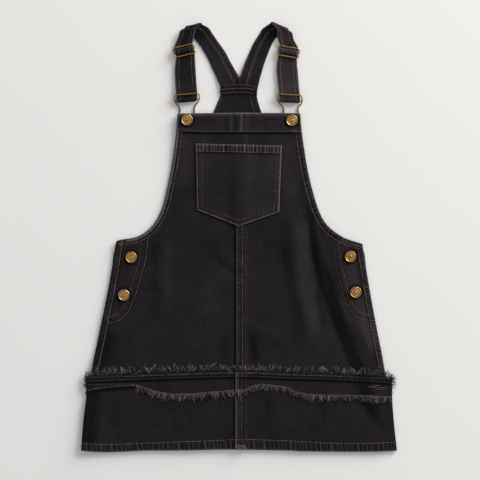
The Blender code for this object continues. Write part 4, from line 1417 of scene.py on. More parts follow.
@dataclass
class Fray:
    """The loose threads of a raw edge.

    They lie together in strands. A strand starts on the edge and runs away from it at a random angle. It
    curls by the square of its share t of the way and by a sine of it, lifts by a sine of t, and rests.
    """

    where: str  # as in the names of the piece and of its node
    root: Array
    reach: Line  # along x, how long the threads are
    way: float  # the threads point to the left of the root's direction, or to its right where -1
    head: Surface
    rest: Surface
    strand_pitch: float = 0.95  # along the edge
    per_strand: int = 4
    radius: float = 0.3
    lean: float = 0.55
    seed: int = 1
    strays: float = 0.06
    scatter: float = 0.26  # of the threads of a strand, along the edge
    root_tone: float = 0.1
    pallor: float = 1.0  # scales how pale the strands are
    stations: int = 6

    def build(self, wardrobe: Wardrobe) -> Any:
        """Makes the threads.

        Args:
            wardrobe: The materials.

        Returns:
            The object.
        """
        rng = np.random.default_rng(self.seed)
        total = lengths(self.root)[-1]
        strands = int(total / self.strand_pitch)
        strand = np.repeat(np.arange(strands), self.per_strand)
        threads = len(strand)
        place = (rng.permutation(strands) + rng.uniform(-0.2, 1.2, strands)) * total / strands
        place = place[strand] + rng.normal(0, self.scatter, threads)
        start = at(self.root, np.clip(place, 0, total))
        tangent = at(self.root, place + 0.8) - at(self.root, place - 0.8)
        heading = np.arctan2(self.way * tangent[:, 0], -self.way * tangent[:, 1])
        reach = rng.uniform(0.5, 1.0, strands) * np.where(rng.uniform(size=strands) < self.strays, 1.4, 1.0)
        length = np.interp(start[:, 0], *np.array(self.reach).T) * reach[strand]
        length = length * rng.uniform(0.75, 1.0, threads)
        angle = heading + rng.normal(0, self.lean, strands)[strand] + rng.normal(0, 0.09, threads)
        t = np.linspace(0, 1, self.stations)
        bend = rng.normal(0, 0.3, strands)[strand][:, None] * t**2 * length[:, None]
        turns, sweep = rng.uniform(3, 9, strands)[strand], rng.uniform(0.2, 1.1, strands)[strand]
        bend += sweep[:, None] * np.sin(t * turns[:, None] + strand[:, None])
        run, begun = length[:, None] * t - 0.8, soft(t / 0.4)
        cos, sin = np.cos(angle)[:, None], np.sin(angle)[:, None]
        x = start[:, :1] + run * cos - bend * sin * begun
        y = start[:, 1:] + run * sin + bend * cos * begun
        lift = rng.uniform(0.1, 1.3, strands)[strand][:, None] * np.sin(math.pi * t)
        fall, low = soft(t / 0.45), self.rest(x, y) + self.radius
        z = self.head(start[:, 0], start[:, 1])[:, None] * (1 - fall) + low * fall + lift
        tone = np.clip(rng.beta(0.4, 1.15, strands)[strand] + rng.normal(0, 0.16, threads), 0, 1)
        tone = self.pallor * tone[:, None] * (self.root_tone + (1 - self.root_tone) * soft(t / 0.7))
        radii = self.radius * rng.uniform(0.7, 1.2, threads)[:, None] * (1 - 0.4 * t)
        points, faces = tubes(np.stack([x, y, z], axis=-1), radii, np.array([0.0, 0.0, 1.0]), 3)
        piece = mesh_object(f"fray_{self.where}", points, faces, {"tone": np.repeat(tone.ravel(), 3)}, 180)
        return finish_piece(piece, wardrobe.fray, Slot.FRAY, f"fringe_{self.where}")


UPPER_REACH = (
    (-255.5, 5), (-254, 9), (-240, 15), (-200, 16), (-120, 15.5), (0, 14), (150, 15.5), (200, 17), (245, 15),
    (252, 12), (254, 10),
)
LOWER_REACH = (
    (-257, 11), (-172, 11), (-150, 14), (-85, 15), (-60, 13), (-20, 12), (-4, 14), (8, 15), (22, 12),
    (215, 12), (224, 17), (234, 12), (257, 11),
)


def between(line: Array, foot: Array, x: Array, share: Array) -> Array:
    """Levels at a share of the way down from one line to another, at each x."""
    head = np.interp(x, *line.T)
    return head + (np.interp(x, *foot.T) - head) * share


@dataclass
class SkirtBand(Cloth):
    """A stretch of the skirt band: a folded lip under its sewn line, a plain strip, and a raw wavy foot."""

    side: Side
    inner: float
    outer: float
    far_tone: float  # how much darker the foot's thread gets towards the side
    foot_pallor: float
    lean: float = 1.8
    raised: float = 3.4  # how far above BAND_CENTRE its sewn line lies
    frayed_from: float = -172.0  # its foot hangs loose to the right of this

    def __post_init__(self) -> None:
        """Works out its edges and its seams."""
        word = self.side.word
        self.name, self.nodes = f"band_front_{word}_cloth", (f"band_front_{word}",)
        x = np.linspace(*sorted((self.outer, self.inner)), 90)
        self.line = np.column_stack([x, BAND_CENTRE + self.raised + arch(x)])
        self.foot = np.column_stack([x, np.interp(x, *through(BAND_FOOT, 8).T)])
        self.seams = [
            Seam(
                self.line, (Row(-2.3, 0.36, far=0.34),), width=8.4, rise=1.1, edge=0.3, ripple=0.14,
                wave=9.0, rub=0.0, crest=0.05, seed=15,
            ),
            # The next three paint the lip's light and shade: a painted dark line across the lip, its pale lower
            # edge, partly wear and partly a painted highlight, and a painted shadow under the lip.
            flat_seam(beside(self.line, -4.9), width=0.5, shade=1.3),
            Seam(
                beside(self.line, -7.7), (), width=0.8, rise=0.25, edge=0.0, ripple=0.08, wave=6.0,
                worn=0.3, seed=17,
            ),
            Seam(
                beside(self.line, -10.6), (), width=0.9, rise=-0.6, edge=0.0, ripple=0.0, crest=0.0,
                shade=3.0,
            ),
            Seam(
                self.foot, (Row(1.9, 0.45, far=self.far_tone),), width=3.0, rise=0.15, edge=0.7,
                ripple=0.16, wave=4.0, rub=0.3, pucker=0.7, seed=16,
            ),
        ]
        if self.side is Side.RIGHT:
            self.seams.append(centre_seam(-222.0, -270.0, 1.25, (0.4, 0.26), seed=8.0, shift=BAND_SHIFT))
        else:
            self.seams.append(lap_shadow(-222.0, -270.0, BAND_SHIFT))

    def plan(self) -> Pair:
        """Columns between the sewn line and the foot."""
        first, last = self.line[0, 0], self.line[-1, 0]
        x = first + (last - first) * ticks(last - first, 1.0, 0.7, 6)
        share = ticks(28, 0.85, 0.5, 9)[:, None]
        lean = self.lean * share * soft((np.abs(x) - 235) / 20)
        return x - self.side.value * lean, between(self.line, self.foot, x, share)

    def rest(self, x: Array, y: Array) -> Array:
        """One layer above the common lie, with the lap."""
        return lay(x, y) + LAYER + (lap(x) if self.side is Side.RIGHT else 0)

    def core(self, x: Array, y: Array) -> Array:
        """Where its threads leave the wall."""
        return self.rest(x, y) - 0.3

    def below(self, x: Array, y: Array) -> Array:
        """The cloth that its threads fall onto."""
        return self.rest(x, y) - LAYER

    def frays(self) -> list[Fray]:
        """The frays along its two edges. The upper one runs on round the band's outer end.

        Returns:
            The upper and the lower fray.
        """
        word, seed = self.side.word, 20 + int(self.side.value)
        end = np.array([[self.outer, level] for level in (-250.0, -232.0)])
        raised = self.line + [0, 0.9]
        high = np.vstack([end, raised] if self.side is Side.LEFT else [raised, end[::-1]])
        low = self.foot[self.foot[:, 0] > self.frayed_from]
        faces = {"head": self.core, "rest": self.below}
        lower = {"strand_pitch": 0.65, "lean": 0.4, "root_tone": 0.6, "pallor": self.foot_pallor}
        return [
            Fray(f"upper_front_{word}", high, UPPER_REACH, 1, **faces, seed=seed, pallor=0.64),
            Fray(f"lower_front_{word}", low, LOWER_REACH, -1, **faces, seed=seed + 5, **lower),
        ]


# ---- The back ----

# x of the left edge, y of both, and x of the right edge
BACK_EDGE = (
    (-30, 250, 29.4), (-31.3, 237, 29.3), (-42.8, 208, 37.5), (-70, 140, 66), (-98, 70, 96),
    (-132, 20, 132), (-160, 0, 160), (-203.5, -14, 203.5), (-214, -71.8, 213.6), (-227.3, -138.5, 225.6),
    (-240, -200, 237.6), (-248, -238, 245.6),
)
FLOOR_GAP = 0.3  # the back's lower face stands this far off the floor, for its threads


class BackCloth(Cloth):
    """A piece of the back, which lies on the floor."""

    def under(self, x: Array, y: Array) -> Array:
        """One wall below, and never below the gap over the floor."""
        return np.maximum(self.rest(x, y) - CLOTH, FLOOR_GAP)


@dataclass
class BackPanel(BackCloth):
    """The back with its yoke, which narrows to the straps. It steps up over its own band."""

    step_top: float = -203.0
    step_foot: float = -211.0

    def __post_init__(self) -> None:
        """Works out its edges and its seams."""
        self.name, self.nodes = "back_cloth", ("back_panel",)
        self.edges = through(BACK_EDGE, 8)
        left, right = self.edges[:, :2], self.edges[::-1, [2, 1]]
        self.seams = [
            Seam(left, (Row(4.0, 0.1),), width=5.4, rise=0.4, rub=0.5, seed=17),
            Seam(right, (Row(11.0, 0.42),), width=12.3, rise=0.4, rub=0.3, seed=18),
        ]

    def plan(self) -> Pair:
        """Level rows between its two edges, closer together in the yoke."""
        total = lengths(self.edges[:, 1:2])[-1]
        rows = at(self.edges, lengths(self.edges)[-1] * ticks(total, 3.4, 0.8, 120, end=False))
        x = rows[:, :1] + (rows[:, 2:] - rows[:, :1]) * ticks(200, 2.6, 0.9, 30)
        level = rows[:, 1:2] + 0 * x
        return x, level + arch(x) * soft((self.step_foot - level) / 20)

    def rest(self, x: Array, y: Array) -> Array:
        """Flat, a layer higher over the band."""
        step = LAYER * soft((self.step_top - y) / (self.step_top - self.step_foot))
        return CLOTH + step + 0.06 * rumple(x, y, 9, 21) * soft((y - 200) / 20)


@dataclass
class BackHem(BackCloth):
    """The back's hem panel, whose head lies over the back's band."""

    inset: float = 1.0
    step_foot: float = -270.5

    def __post_init__(self) -> None:
        """Works out its seams."""
        self.name, self.nodes = "hem_back_cloth", ("hem_back",)
        x = np.linspace(-263, 263, 60)
        self.foot = np.column_stack([x, HEM_FOOT - hem_sway(x)])
        row = Row(HEM_TURN - 0.6)
        self.seams = [Seam(self.foot, (row,), width=HEM_TURN, rise=0.0, edge=0.5, ripple=0.0, sewn=False)]

    def plan(self) -> Pair:
        """Level rows, bent as the front's are."""
        level = HEM_HEAD + (HEM_FOOT - HEM_HEAD) * ticks(HEM_HEAD - HEM_FOOT, 3.0, 0.9, 12)[:, None]
        left, right = (edge_x(through(HEM_SIDES[side], 8), level) - side.value * self.inset for side in Side)
        x = left + (right - left) * ticks(515, 3.2, 1.0, 12)
        upper = soft((level - self.step_foot) / 30.5)
        return x, level + to_band(x) * upper - hem_sway(x) * soft((-300 - level) / 50)

    def rest(self, x: Array, y: Array) -> Array:
        """Flat, a layer higher over the band."""
        return CLOTH + LAYER * soft((y - self.step_foot) / 2.0)


@dataclass
class BackBand(BackCloth):
    """The skirt band's length under the back."""

    half: float = 255.0

    def __post_init__(self) -> None:
        """Works out its edges and its seams."""
        self.name, self.nodes = "band_back_cloth", ("band_back",)
        x = np.linspace(-self.half, self.half, 120)
        self.line = np.column_stack([x, BAND_CENTRE + arch(x)])
        self.foot = np.column_stack([x, np.interp(x, *through(BACK_BAND_FOOT, 10).T)])
        self.seams = []

    def plan(self) -> Pair:
        """Columns between the sewn line and the foot."""
        x = self.half * (2 * ticks(2 * self.half, 3.0, 1.0, 6) - 1)
        share = ticks(28, 2.0, 0.8, 6)[:, None]
        return x + 0 * share, between(self.line, self.foot, x, share)

    def rest(self, x: Array, y: Array) -> Array:
        """Flat on the floor."""
        return CLOTH + 0 * x

    def core(self, x: Array, y: Array) -> Array:
        """Where its threads leave the wall, and where they lie."""
        return FLOOR_GAP + 0.3 + 0 * x

    def frays(self) -> list[Fray]:
        """The frays along its two edges."""
        upper, lower = ((-257, 12), (257, 12)), ((-257, 9), (257, 9))
        return [
            Fray("upper_back", self.line, upper, 1, self.core, self.core, 1.8, seed=30),
            Fray("lower_back", self.foot, lower, -1, self.core, self.core, 1.6, seed=31),
        ]


@dataclass
class YokeFacing(Cloth):
    """The strip sewn over the ends of the straps at the top of the yoke."""

    thickness: float = 0.8
    head_points: Line = ((-31.6, 252.6), (-12, 254.4), (8, 254.6), (22, 253.2), (30, 249.6))
    foot_points: Line = ((-31.9, 238.4), (-10, 238.8), (8, 238.8), (20, 238.0), (29.8, 235.2))

    def __post_init__(self) -> None:
        """Works out its edges and its seams."""
        self.name, self.nodes = "yoke_facing_cloth", ()
        self.head, self.foot = through(self.head_points, 10), through(self.foot_points, 10)
        self.seams = [
            Seam(
                self.head, (Row(-7.0, 0.8, 2.0), Row(-13.0, 0.55, 2.0)), width=15.0, rise=0.1, edge=0.5,
                ripple=0.14, wave=3.2, rub=0.2, crest=0.1, pucker=0.5, seed=41,
            ),
            rubbed(self.foot, 1.6, 0.15, 0.2),
        ]

    def plan(self) -> Pair:
        """Columns between its head and its foot."""
        along, share = ticks(61, 0.9, 0.5, 6), ticks(23, 0.7, 0.4, 8)[:, None]
        x = -31.6 + 61.4 * along + soft(share * 2 - 1) * (0.4 * along - 0.2)
        return x, between(self.head, self.foot, x, share)

    def rest(self, x: Array, y: Array) -> Array:
        """Over the left strap's end, a step higher over the right one's, and down at its foot and ends.

        Args:
            x, y: Plan positions.

        Returns:
            The height before the seams.
        """
        straps = 1.9 + 1.9 * soft((x + 9) / 12)
        ends = soft((x + 32.5) / 4.5) * soft((31.2 - x) / 4.5)
        foot = soft((y - 234.5) / 18.0)
        return 2.35 + straps * ends * foot + 0.1 * np.sin(x / 1.3) * bump(y - 242, 5)

    def under(self, x: Array, y: Array) -> Array:
        """A thin wall's depth below."""
        return self.rest(x, y) - self.thickness


# ---- Straps ----

STRAP_WALL, STRAP_HALF_WIDTH, SHOULDER_RADIUS, HOOK_TURN = 1.8, 17.4, 2.8, 5.3
DRAWN_IN = 0.09  # of a strap's width, at each end of a fold
FLAT, DOUBLED = STRAP_WALL / 2, 1.5 * STRAP_WALL + 0.3
SLIDER_WIRE, SLIDER_HALF_WIDTH, SLIDER_HALF_DEPTH, SLIDER_CORNER, SLIDER_STRAP = 1.1, 17.4, 7.8, 3.0, 15.9
SLIDER_HEIGHT, SLIDER_DIP = DOUBLED + STRAP_WALL / 2 + 0.3 + SLIDER_WIRE, 1.1
SLIDERS = {Side.LEFT: ((-91.2, 310.6), 13.0), Side.RIGHT: ((82.0, 308.3), -9.5)}  # middle, degrees
# How high the strap runs over the slider's middle bar, at distances up the strap from it
HUMP = ((8.5, DOUBLED), (6.0, DOUBLED), (2.6, 6.3), (0.0, 6.5), (-2.6, 6.3), (-6.0, DOUBLED), (-8.5, DOUBLED))
HOOK_WIRE, HOOK_BAR_HEIGHT, HOOK_LOOP, HOOK_LOOP_HEIGHT = 1.0, 7.0, 12.8, 1.2
HOOK_LEAN = {Side.LEFT: -0.5, Side.RIGHT: -4.3}
HOOK_TILT = {Side.LEFT: 0.085, Side.RIGHT: -0.05}
HOOK_CROSSBAR, HOOK_CROSSBAR_HEIGHT = (20.4, 33.0), (HOOK_TURN + FLAT) / 2
# The wire down the right side of a hook, from its bar, about the middle of the bib's button
HOOK_SIDE = (
    (18.0, 42.6, HOOK_BAR_HEIGHT), (19.9, 40.6, HOOK_BAR_HEIGHT - 0.6), (20.4, 37.0, 4.8),
    (*HOOK_CROSSBAR, HOOK_CROSSBAR_HEIGHT), (18.2, 28.8, 2.2), (14.8, 24.8, 1.6), (12.3, 21.0, 1.3),
    (12.0, 14.0, 1.2), (12.6, 6.0, 1.2),
)
Rungs = tuple[tuple[float, float, float, float, float], ...]  # x and y at each end, and the height
LEFT_END, RIGHT_END = [0, 1, 4], [2, 3, 4]  # the columns of a rung's two ends


def hook_foot(side: Side) -> Array:
    """The middle of a hook's lower bar in plan."""
    centre = seat(f"button_bib_{side.word}")
    return centre[:2] + [HOOK_LEAN[side] * HOOK_CROSSBAR[1] / HOOK_SIDE[0][1], HOOK_CROSSBAR[1]]


def climb(rungs: Any, steps: int) -> Array:
    """Rungs with steps between them: their plan on smooth curves, their heights on S-shaped ones.

    Args:
        rungs: The rungs.
        steps: Pieces that each gap between rungs is cut into.

    Returns:
        The closer rungs.
    """
    table = np.array(rungs, float)
    plan = through(table[:, :4], steps)
    place = np.arange(len(plan)) / steps
    low = np.minimum(place.astype(int), len(table) - 2)
    height = table[low, 4] + (table[low + 1, 4] - table[low, 4]) * soft(place - low)
    return np.column_stack([plan, height])


def half_turn(rung: Array, out: Span, end_height: float, steps: int) -> Array:
    """Rungs round half a cylinder along a rung: a cosine up, a sine out, and the ends drawn in by its square.

    Args:
        rung: Where the turn begins.
        out: The direction in plan that it bulges to.
        end_height: Where it ends.
        steps: Pieces that the turn is cut into.

    Returns:
        The rungs, the first one among them.
    """
    radius = (end_height - rung[4]) / 2
    angle = np.linspace(0, math.pi, steps + 1)[:, None]
    across = rung[2:4] - rung[:2]
    plan = rung[:4] + abs(radius) * np.sin(angle) * np.array([*out, *out])
    plan += DRAWN_IN * np.sin(angle) ** 2 * np.array([*across, *-across])
    return np.column_stack([plan, rung[4] + radius * (1 - np.cos(angle))])


@dataclass
class Strap:
    """A strap: a back run that shows its inner face, a fold at the shoulder, a front run, and a tail.

    Its two faces stand half its wall off a surface through the rungs. Both are sewn near their edges, and the
    inner one has a raised seam along it.
    """

    side: Side
    back_run: Rungs
    shoulder_out: Span
    to_slider: Rungs
    to_hook: Rungs
    seam_share: float
    front_fade: float
    back_fade: float
    # painted shade on the back run near the shoulder's fold
    shoulder_shade: float
    tones: Span  # of the threads along its edges and along its seam
    tail_share: float = 0.8
    row: float = 6.4
    inner_row: float = 2.6
    inset: float = 0.4
    steps: int = 10
    spacing: float = 1.25

    def __post_init__(self) -> None:
        """Works out its edges, its width, the way out of its cloth, and a grid over it."""
        rungs = self.rungs()
        self.left, self.right = rungs[:, LEFT_END], rungs[:, RIGHT_END]
        middle = (self.left + self.right) / 2
        self.width = np.linalg.norm(self.right - self.left, axis=1)[:, None]
        self.normal = np.cross(np.gradient(middle, axis=0), self.right - self.left)
        self.normal /= np.linalg.norm(self.normal, axis=1)[:, None]
        self.share = ticks(34, 1.4, 0.4, 5)[None]
        self.down = lengths(middle)[:, None] + 0 * self.share

    def front_run(self, start: Array) -> Array:
        """The rungs from the shoulder over the slider's middle bar to the hook.

        Args:
            start: The last rung of the shoulder's fold.

        Returns:
            The rungs.
        """
        (cx, cy), turn = SLIDERS[self.side]
        across = np.array([math.cos(math.radians(turn)), math.sin(math.radians(turn))])
        along, heights = np.array(HUMP).T
        middle = np.array([cx, cy]) + np.outer(along, [-across[1], across[0]])
        hump = np.column_stack([middle - across * SLIDER_STRAP, middle + across * SLIDER_STRAP, heights])
        foot, tilt = hook_foot(self.side), HOOK_TILT[self.side] * STRAP_HALF_WIDTH
        low = foot[1] - 0.8
        last = (foot[0] - STRAP_HALF_WIDTH, low - tilt, foot[0] + STRAP_HALF_WIDTH, low + tilt, HOOK_TURN)
        return climb(np.vstack([start, self.to_slider, hump, self.to_hook, last]), self.steps)

    def rungs(self) -> Array:
        """Its cross lines from the yoke to the end of the tail, close together."""
        back = climb(self.back_run, self.steps)
        shoulder = half_turn(back[-1], self.shoulder_out, FLAT + 2 * SHOULDER_RADIUS, 22)
        front = self.front_run(shoulder[-1])
        hook_turn = half_turn(front[-1], (0.0, -1.0), FLAT, 18)
        below_slider = np.array([*front[-1 - self.steps * (len(self.to_hook) + 1)][:4], FLAT])
        tail = hook_turn[-1] + (below_slider - hook_turn[-1]) * np.linspace(0, self.tail_share, 30)[1:, None]
        rungs = np.vstack([back, shoulder[1:], front[1:], hook_turn[1:], tail])
        centre = np.column_stack([(rungs[:, :2] + rungs[:, 2:4]) / 2, rungs[:, 4]])
        travelled = lengths(centre)
        return sample(rungs, travelled, np.linspace(0, travelled[-1], int(travelled[-1] / self.spacing)))

    def face(self, outer: bool) -> Pair:
        """Its outer or its inner face.

        Args:
            outer: Whether it is the outer one.

        Returns:
            The face's distance from the middle surface, and its wear.
        """
        down, share, width = self.down, self.share, self.width
        near = np.minimum(share, 1 - share) * width
        swing = wavy(down + 40 * (share > 0.5), 8.0, 3.0) * soft((self.row + 1.5 - near) / STEP_WIDTH)
        dents = bump(near - (self.row if outer else self.inner_row), DENT_WIDTH)
        height = 0.3 * soft((self.row + 1.4 - near) / STEP_WIDTH) + 0.13 * swing - DENT_DEPTH * dents
        wear = (0.55 if outer else 0.4) * bump(near - 0.9, 1.3) + 0.15 * np.clip(swing, 0, 1)
        if not outer:
            aside = (share - self.seam_share) * width
            height += 0.55 * soft((3.4 - np.abs(aside)) / 1.3) - 0.25 * bump(aside, 0.7)
            wear += 0.3 * bump(np.abs(aside) - 2.4, 0.8)
        height += 0.2 * rumple(share * width, down, 14, 31 + outer)
        round_off = np.sqrt(np.clip(1 - (1 - np.clip(near / 1.3, 0, 1)) ** 2, 0, 1))
        return (STRAP_WALL / 2 - self.inset + height) * round_off, wear

    def wash(self, flat: Array, facing: Array) -> Array:
        """How pale or dark it is: by its run on the faces that lie uppermost, with painted shade on the back
        run near the shoulder's fold, and in blotches.

        Args:
            flat: Places on the strap laid flat.
            facing: How far each place faces up.

        Returns:
            The wash at each place.
        """
        shoulder = lengths(climb(self.back_run, self.steps)[:, LEFT_END])[-1]
        before = shoulder - flat[..., 1]
        behind = soft(before / 4 + 0.5)
        back_fade = self.back_fade + self.shoulder_shade * soft(1 - before / 45)
        fade = self.front_fade * (1 - behind) + behind * back_fade
        return fade * soft(facing * 2) + 0.3 * rumple(flat[..., 0], flat[..., 1], 22, 33)

    def sew(self, sewing: Sewing) -> None:
        """Sews a row near each edge of its outer face, and on the inner one near an edge and on the seam.

        Args:
            sewing: Takes its stitches.
        """
        left, right, width, normal = self.left, self.right, self.width, self.normal
        edges = [(left, right), (right, left)]
        off = normal * (STRAP_WALL / 2 - self.inset)
        for edge, other in edges:
            sewing.sew(edge + (other - edge) * (self.row / width) + off, normal, Row(0.0, self.tones[0]))
        edge, other = edges[self.side is Side.LEFT]
        sewing.sew(edge + (other - edge) * (self.inner_row / width) - off, -normal, Row(0.0, 0.14, 2.0))
        seam = left + (right - left) * self.seam_share
        sewing.sew(seam - normal * (STRAP_WALL / 2 - self.inset + 0.4), -normal, Row(0.0, self.tones[1]))

    def build(self, wardrobe: Wardrobe, sewing: Sewing) -> Any:
        """Makes the strap and sews its rows.

        Args:
            wardrobe: The materials.
            sewing: Takes its stitches.

        Returns:
            The object.
        """
        share, out, back = self.share, self.normal[:, None], slice(-2, 0, -1)
        (outer_height, outer_wear), (inner_height, inner_wear) = self.face(True), self.face(False)
        middle = self.left[:, None] + (self.right - self.left)[:, None] * share[..., None]
        outer, inner = middle + out * outer_height[..., None], middle - out * inner_height[..., None]
        ring = np.concatenate([outer, inner[:, back]], axis=1)
        index = np.arange(ring[..., 0].size).reshape(ring.shape[:2])
        shares = np.concatenate([share[0], share[0, back]])
        x, y = self.width * shares, self.down[:, :1] + 0 * shares
        flat = np.stack([x, y, 0 * x], axis=-1)
        facing = self.normal[:, 2:3] * np.where(np.arange(shares.size) < share.size, 1, -1)
        marks = {
            "wear": np.concatenate([outer_wear, inner_wear[:, back]], axis=1).ravel(),
            "wash": self.wash(flat, facing).ravel(), "weave": flat.reshape(-1, 3) * MM,
        }
        faces = [ring_faces(index[:-1], index[1:])[:, ::-1], np.stack([index[0, ::-1], index[-1]])]
        name = f"strap_{self.side.word}"
        piece = mesh_object(f"{name}_cloth", ring.reshape(-1, 3), faces, marks, 70)
        self.sew(sewing)
        return finish_piece(piece, wardrobe.denim, Slot.DENIM, name)


STRAPS = (
    Strap(
        side=Side.LEFT,
        back_run=(
            (-26.7, 240.6, 8.5, 249.9, 1.5), (-31.7, 251.5, 0.5, 266.0, 2.4),
            (-42.3, 275.0, -11.8, 287.5, FLAT), (-52.8, 298.0, -23.3, 309.0, FLAT),
            (-62.8, 315.0, -36.0, 327.0, FLAT), (-71.5, 326.5, -44.5, 339.5, FLAT),
            (-80.5, 336.0, -51.0, 348.6, FLAT), (-90.6, 346.9, -61.2, 354.2, FLAT),
        ),
        shoulder_out=(-0.29, 0.957),
        to_slider=((-97.6, 343.4, -70.8, 347.2, 5.9), (-101.9, 331.3, -75.0, 334.2, 4.5)),
        to_hook=(
            (-107.0, 280.0, -72.8, 282.0, DOUBLED), (-106.3, 258.0, -71.0, 258.5, DOUBLED),
            (-105.0, 238.0, -69.6, 239.0, 4.5),
        ),
        seam_share=0.63, front_fade=-0.25, back_fade=0.2, shoulder_shade=-2.2, tones=(0.32, 0.3),
    ),
    Strap(
        side=Side.RIGHT,
        back_run=(
            (-2.6, 247.3, 29.5, 239.3, 1.5), (1.0, 264.5, 32.5, 254.5, 4.5), (8.3, 286.5, 38.3, 276.5, 2.2),
            (15.8, 304.8, 44.2, 294.8, FLAT), (24.2, 323.2, 51.3, 313.2, FLAT),
            (32.5, 336.5, 57.5, 326.5, FLAT), (39.2, 347.2, 65.5, 335.0, FLAT),
            (51.8, 356.4, 82.6, 343.6, FLAT),
        ),
        shoulder_out=(0.357, 0.934),
        to_slider=((61.8, 346.8, 88.4, 339.6, 5.9), (63.6, 333.0, 91.0, 328.8, 4.5)),
        to_hook=(
            (62.5, 281.0, 96.7, 281.0, DOUBLED), (64.2, 258.0, 98.5, 258.0, DOUBLED),
            (66.3, 238.5, 100.8, 238.0, 4.5),
        ),
        seam_share=0.39, front_fade=1.3, back_fade=-0.25, shoulder_shade=-3.2, tones=(0.5, 0.5),
    ),
)


# ---- Brass hardware ----


def looped(points: Array, spacing: float) -> Array:
    """A closed line through points, cut at even steps; its last point is a step before the first."""
    closed = np.vstack([points, points[:1]])
    total = lengths(closed)[-1]
    return at(closed, np.linspace(0, total, int(total / spacing), endpoint=False))


@dataclass
class WirePiece:
    """A closed ring of round wire with a straight bar across it. Each kind says its ring and its bar."""

    side: Side
    kind = "wire"
    radius = 1.0

    def ring(self) -> Array:
        """Points along the ring."""
        raise NotImplementedError

    def bar(self) -> Array:
        """The bar's two ends."""
        raise NotImplementedError

    def build(self, wardrobe: Wardrobe) -> Any:
        """Makes the piece, with painted shade low down near the cloth, and darker in blotches.

        Args:
            wardrobe: The materials.

        Returns:
            The object.
        """
        up, sides = np.array([0.0, 0.0, 1.0]), 16
        points, faces = tubes(self.ring()[None], np.array(self.radius), up, sides, closed=True)
        start, end = self.bar()
        line = start + (end - start) * np.linspace(0, 1, 12)[:, None]
        more, more_faces = tubes(line[None], np.array(self.radius * 0.95), up, sides)
        faces += [group + len(points) for group in more_faces]
        everything = np.vstack([points, more])
        low = soft((4.6 - everything[:, 2]) / 2)
        # painted shade low down near the cloth, and blotches of patina
        marks = {"hollow_and_shade": 0.25 * rumple(everything[:, 0], everything[:, 1], 5, 51) + 0.75 * low}
        name = f"{self.kind}_{self.side.word}"
        piece = mesh_object(f"{name}_wire", everything, faces, marks, 70)
        return finish_piece(piece, wardrobe.wire, Slot.BRASS, name)


@dataclass
class Slider(WirePiece):
    """A rectangular wire slider with a middle bar, on the strap."""

    kind = "slider"
    radius = SLIDER_WIRE

    def placed(self, plan: Array) -> Array:
        """Plan positions about the slider's middle, turned with it and moved to its place."""
        centre, turn = SLIDERS[self.side]
        c, s = math.cos(math.radians(turn)), math.sin(math.radians(turn))
        return plan @ np.array([[c, s], [-s, c]]) + centre

    def ring(self) -> Array:
        """A rectangle with rounded corners whose side wires dip in a parabola."""
        w, d, r = SLIDER_HALF_WIDTH, SLIDER_HALF_DEPTH, SLIDER_CORNER
        angle = np.radians(np.arange(4)[:, None] * 90 + np.linspace(0, 90, 9))
        x = np.array([1, -1, -1, 1])[:, None] * (w - r) + r * np.cos(angle)
        y = np.array([1, 1, -1, -1])[:, None] * (d - r) + r * np.sin(angle)
        flat = looped(np.stack([x, y], axis=-1).reshape(-1, 2), 0.9)
        dip = SLIDER_DIP * (1 - np.clip(np.abs(flat[:, 1]) / (d - r), 0, 1) ** 2)
        return np.column_stack([self.placed(flat), SLIDER_HEIGHT - dip])

    def bar(self) -> Array:
        """The middle bar's two ends, at the side wires' lowest points."""
        ends = self.placed(np.array([[-SLIDER_HALF_WIDTH, 0.0], [SLIDER_HALF_WIDTH, 0.0]]))
        return np.column_stack([ends, [SLIDER_HEIGHT - SLIDER_DIP] * 2])


@dataclass
class Hook(WirePiece):
    """A wire hook: a bar over the strap, a lower bar in its turn, and a loop behind the bib's button."""

    kind = "hook"
    radius = HOOK_WIRE

    def ring(self) -> Array:
        """A smooth curve down one side, a half circle, and the curve's mirror image, leant and tilted."""
        right = through(HOOK_SIDE, 8)
        angle = np.linspace(0, math.pi, 24)[1:-1]
        loop = [HOOK_LOOP * np.cos(angle), -HOOK_LOOP * np.sin(angle), HOOK_LOOP_HEIGHT + 0 * angle]
        ring = looped(np.vstack([right, np.column_stack(loop), right[::-1] * (-1, 1, 1)]), 0.9)
        ring[:, 1] += HOOK_TILT[self.side] * ring[:, 0] * np.clip(ring[:, 1] / HOOK_CROSSBAR[1], 0, 1)
        ring[:, 0] += HOOK_LEAN[self.side] / HOOK_SIDE[0][1] * np.clip(ring[:, 1], 0, None)
        ring[:, :2] += seat(f"button_bib_{self.side.word}")[:2]
        return ring

    def bar(self) -> Array:
        """The lower bar's two ends."""
        foot, reach = hook_foot(self.side), HOOK_CROSSBAR[0] * np.array([-1.0, 1.0])
        height = HOOK_CROSSBAR_HEIGHT + 0 * reach
        return np.column_stack([foot[0] + reach, foot[1] + HOOK_TILT[self.side] * reach, height])


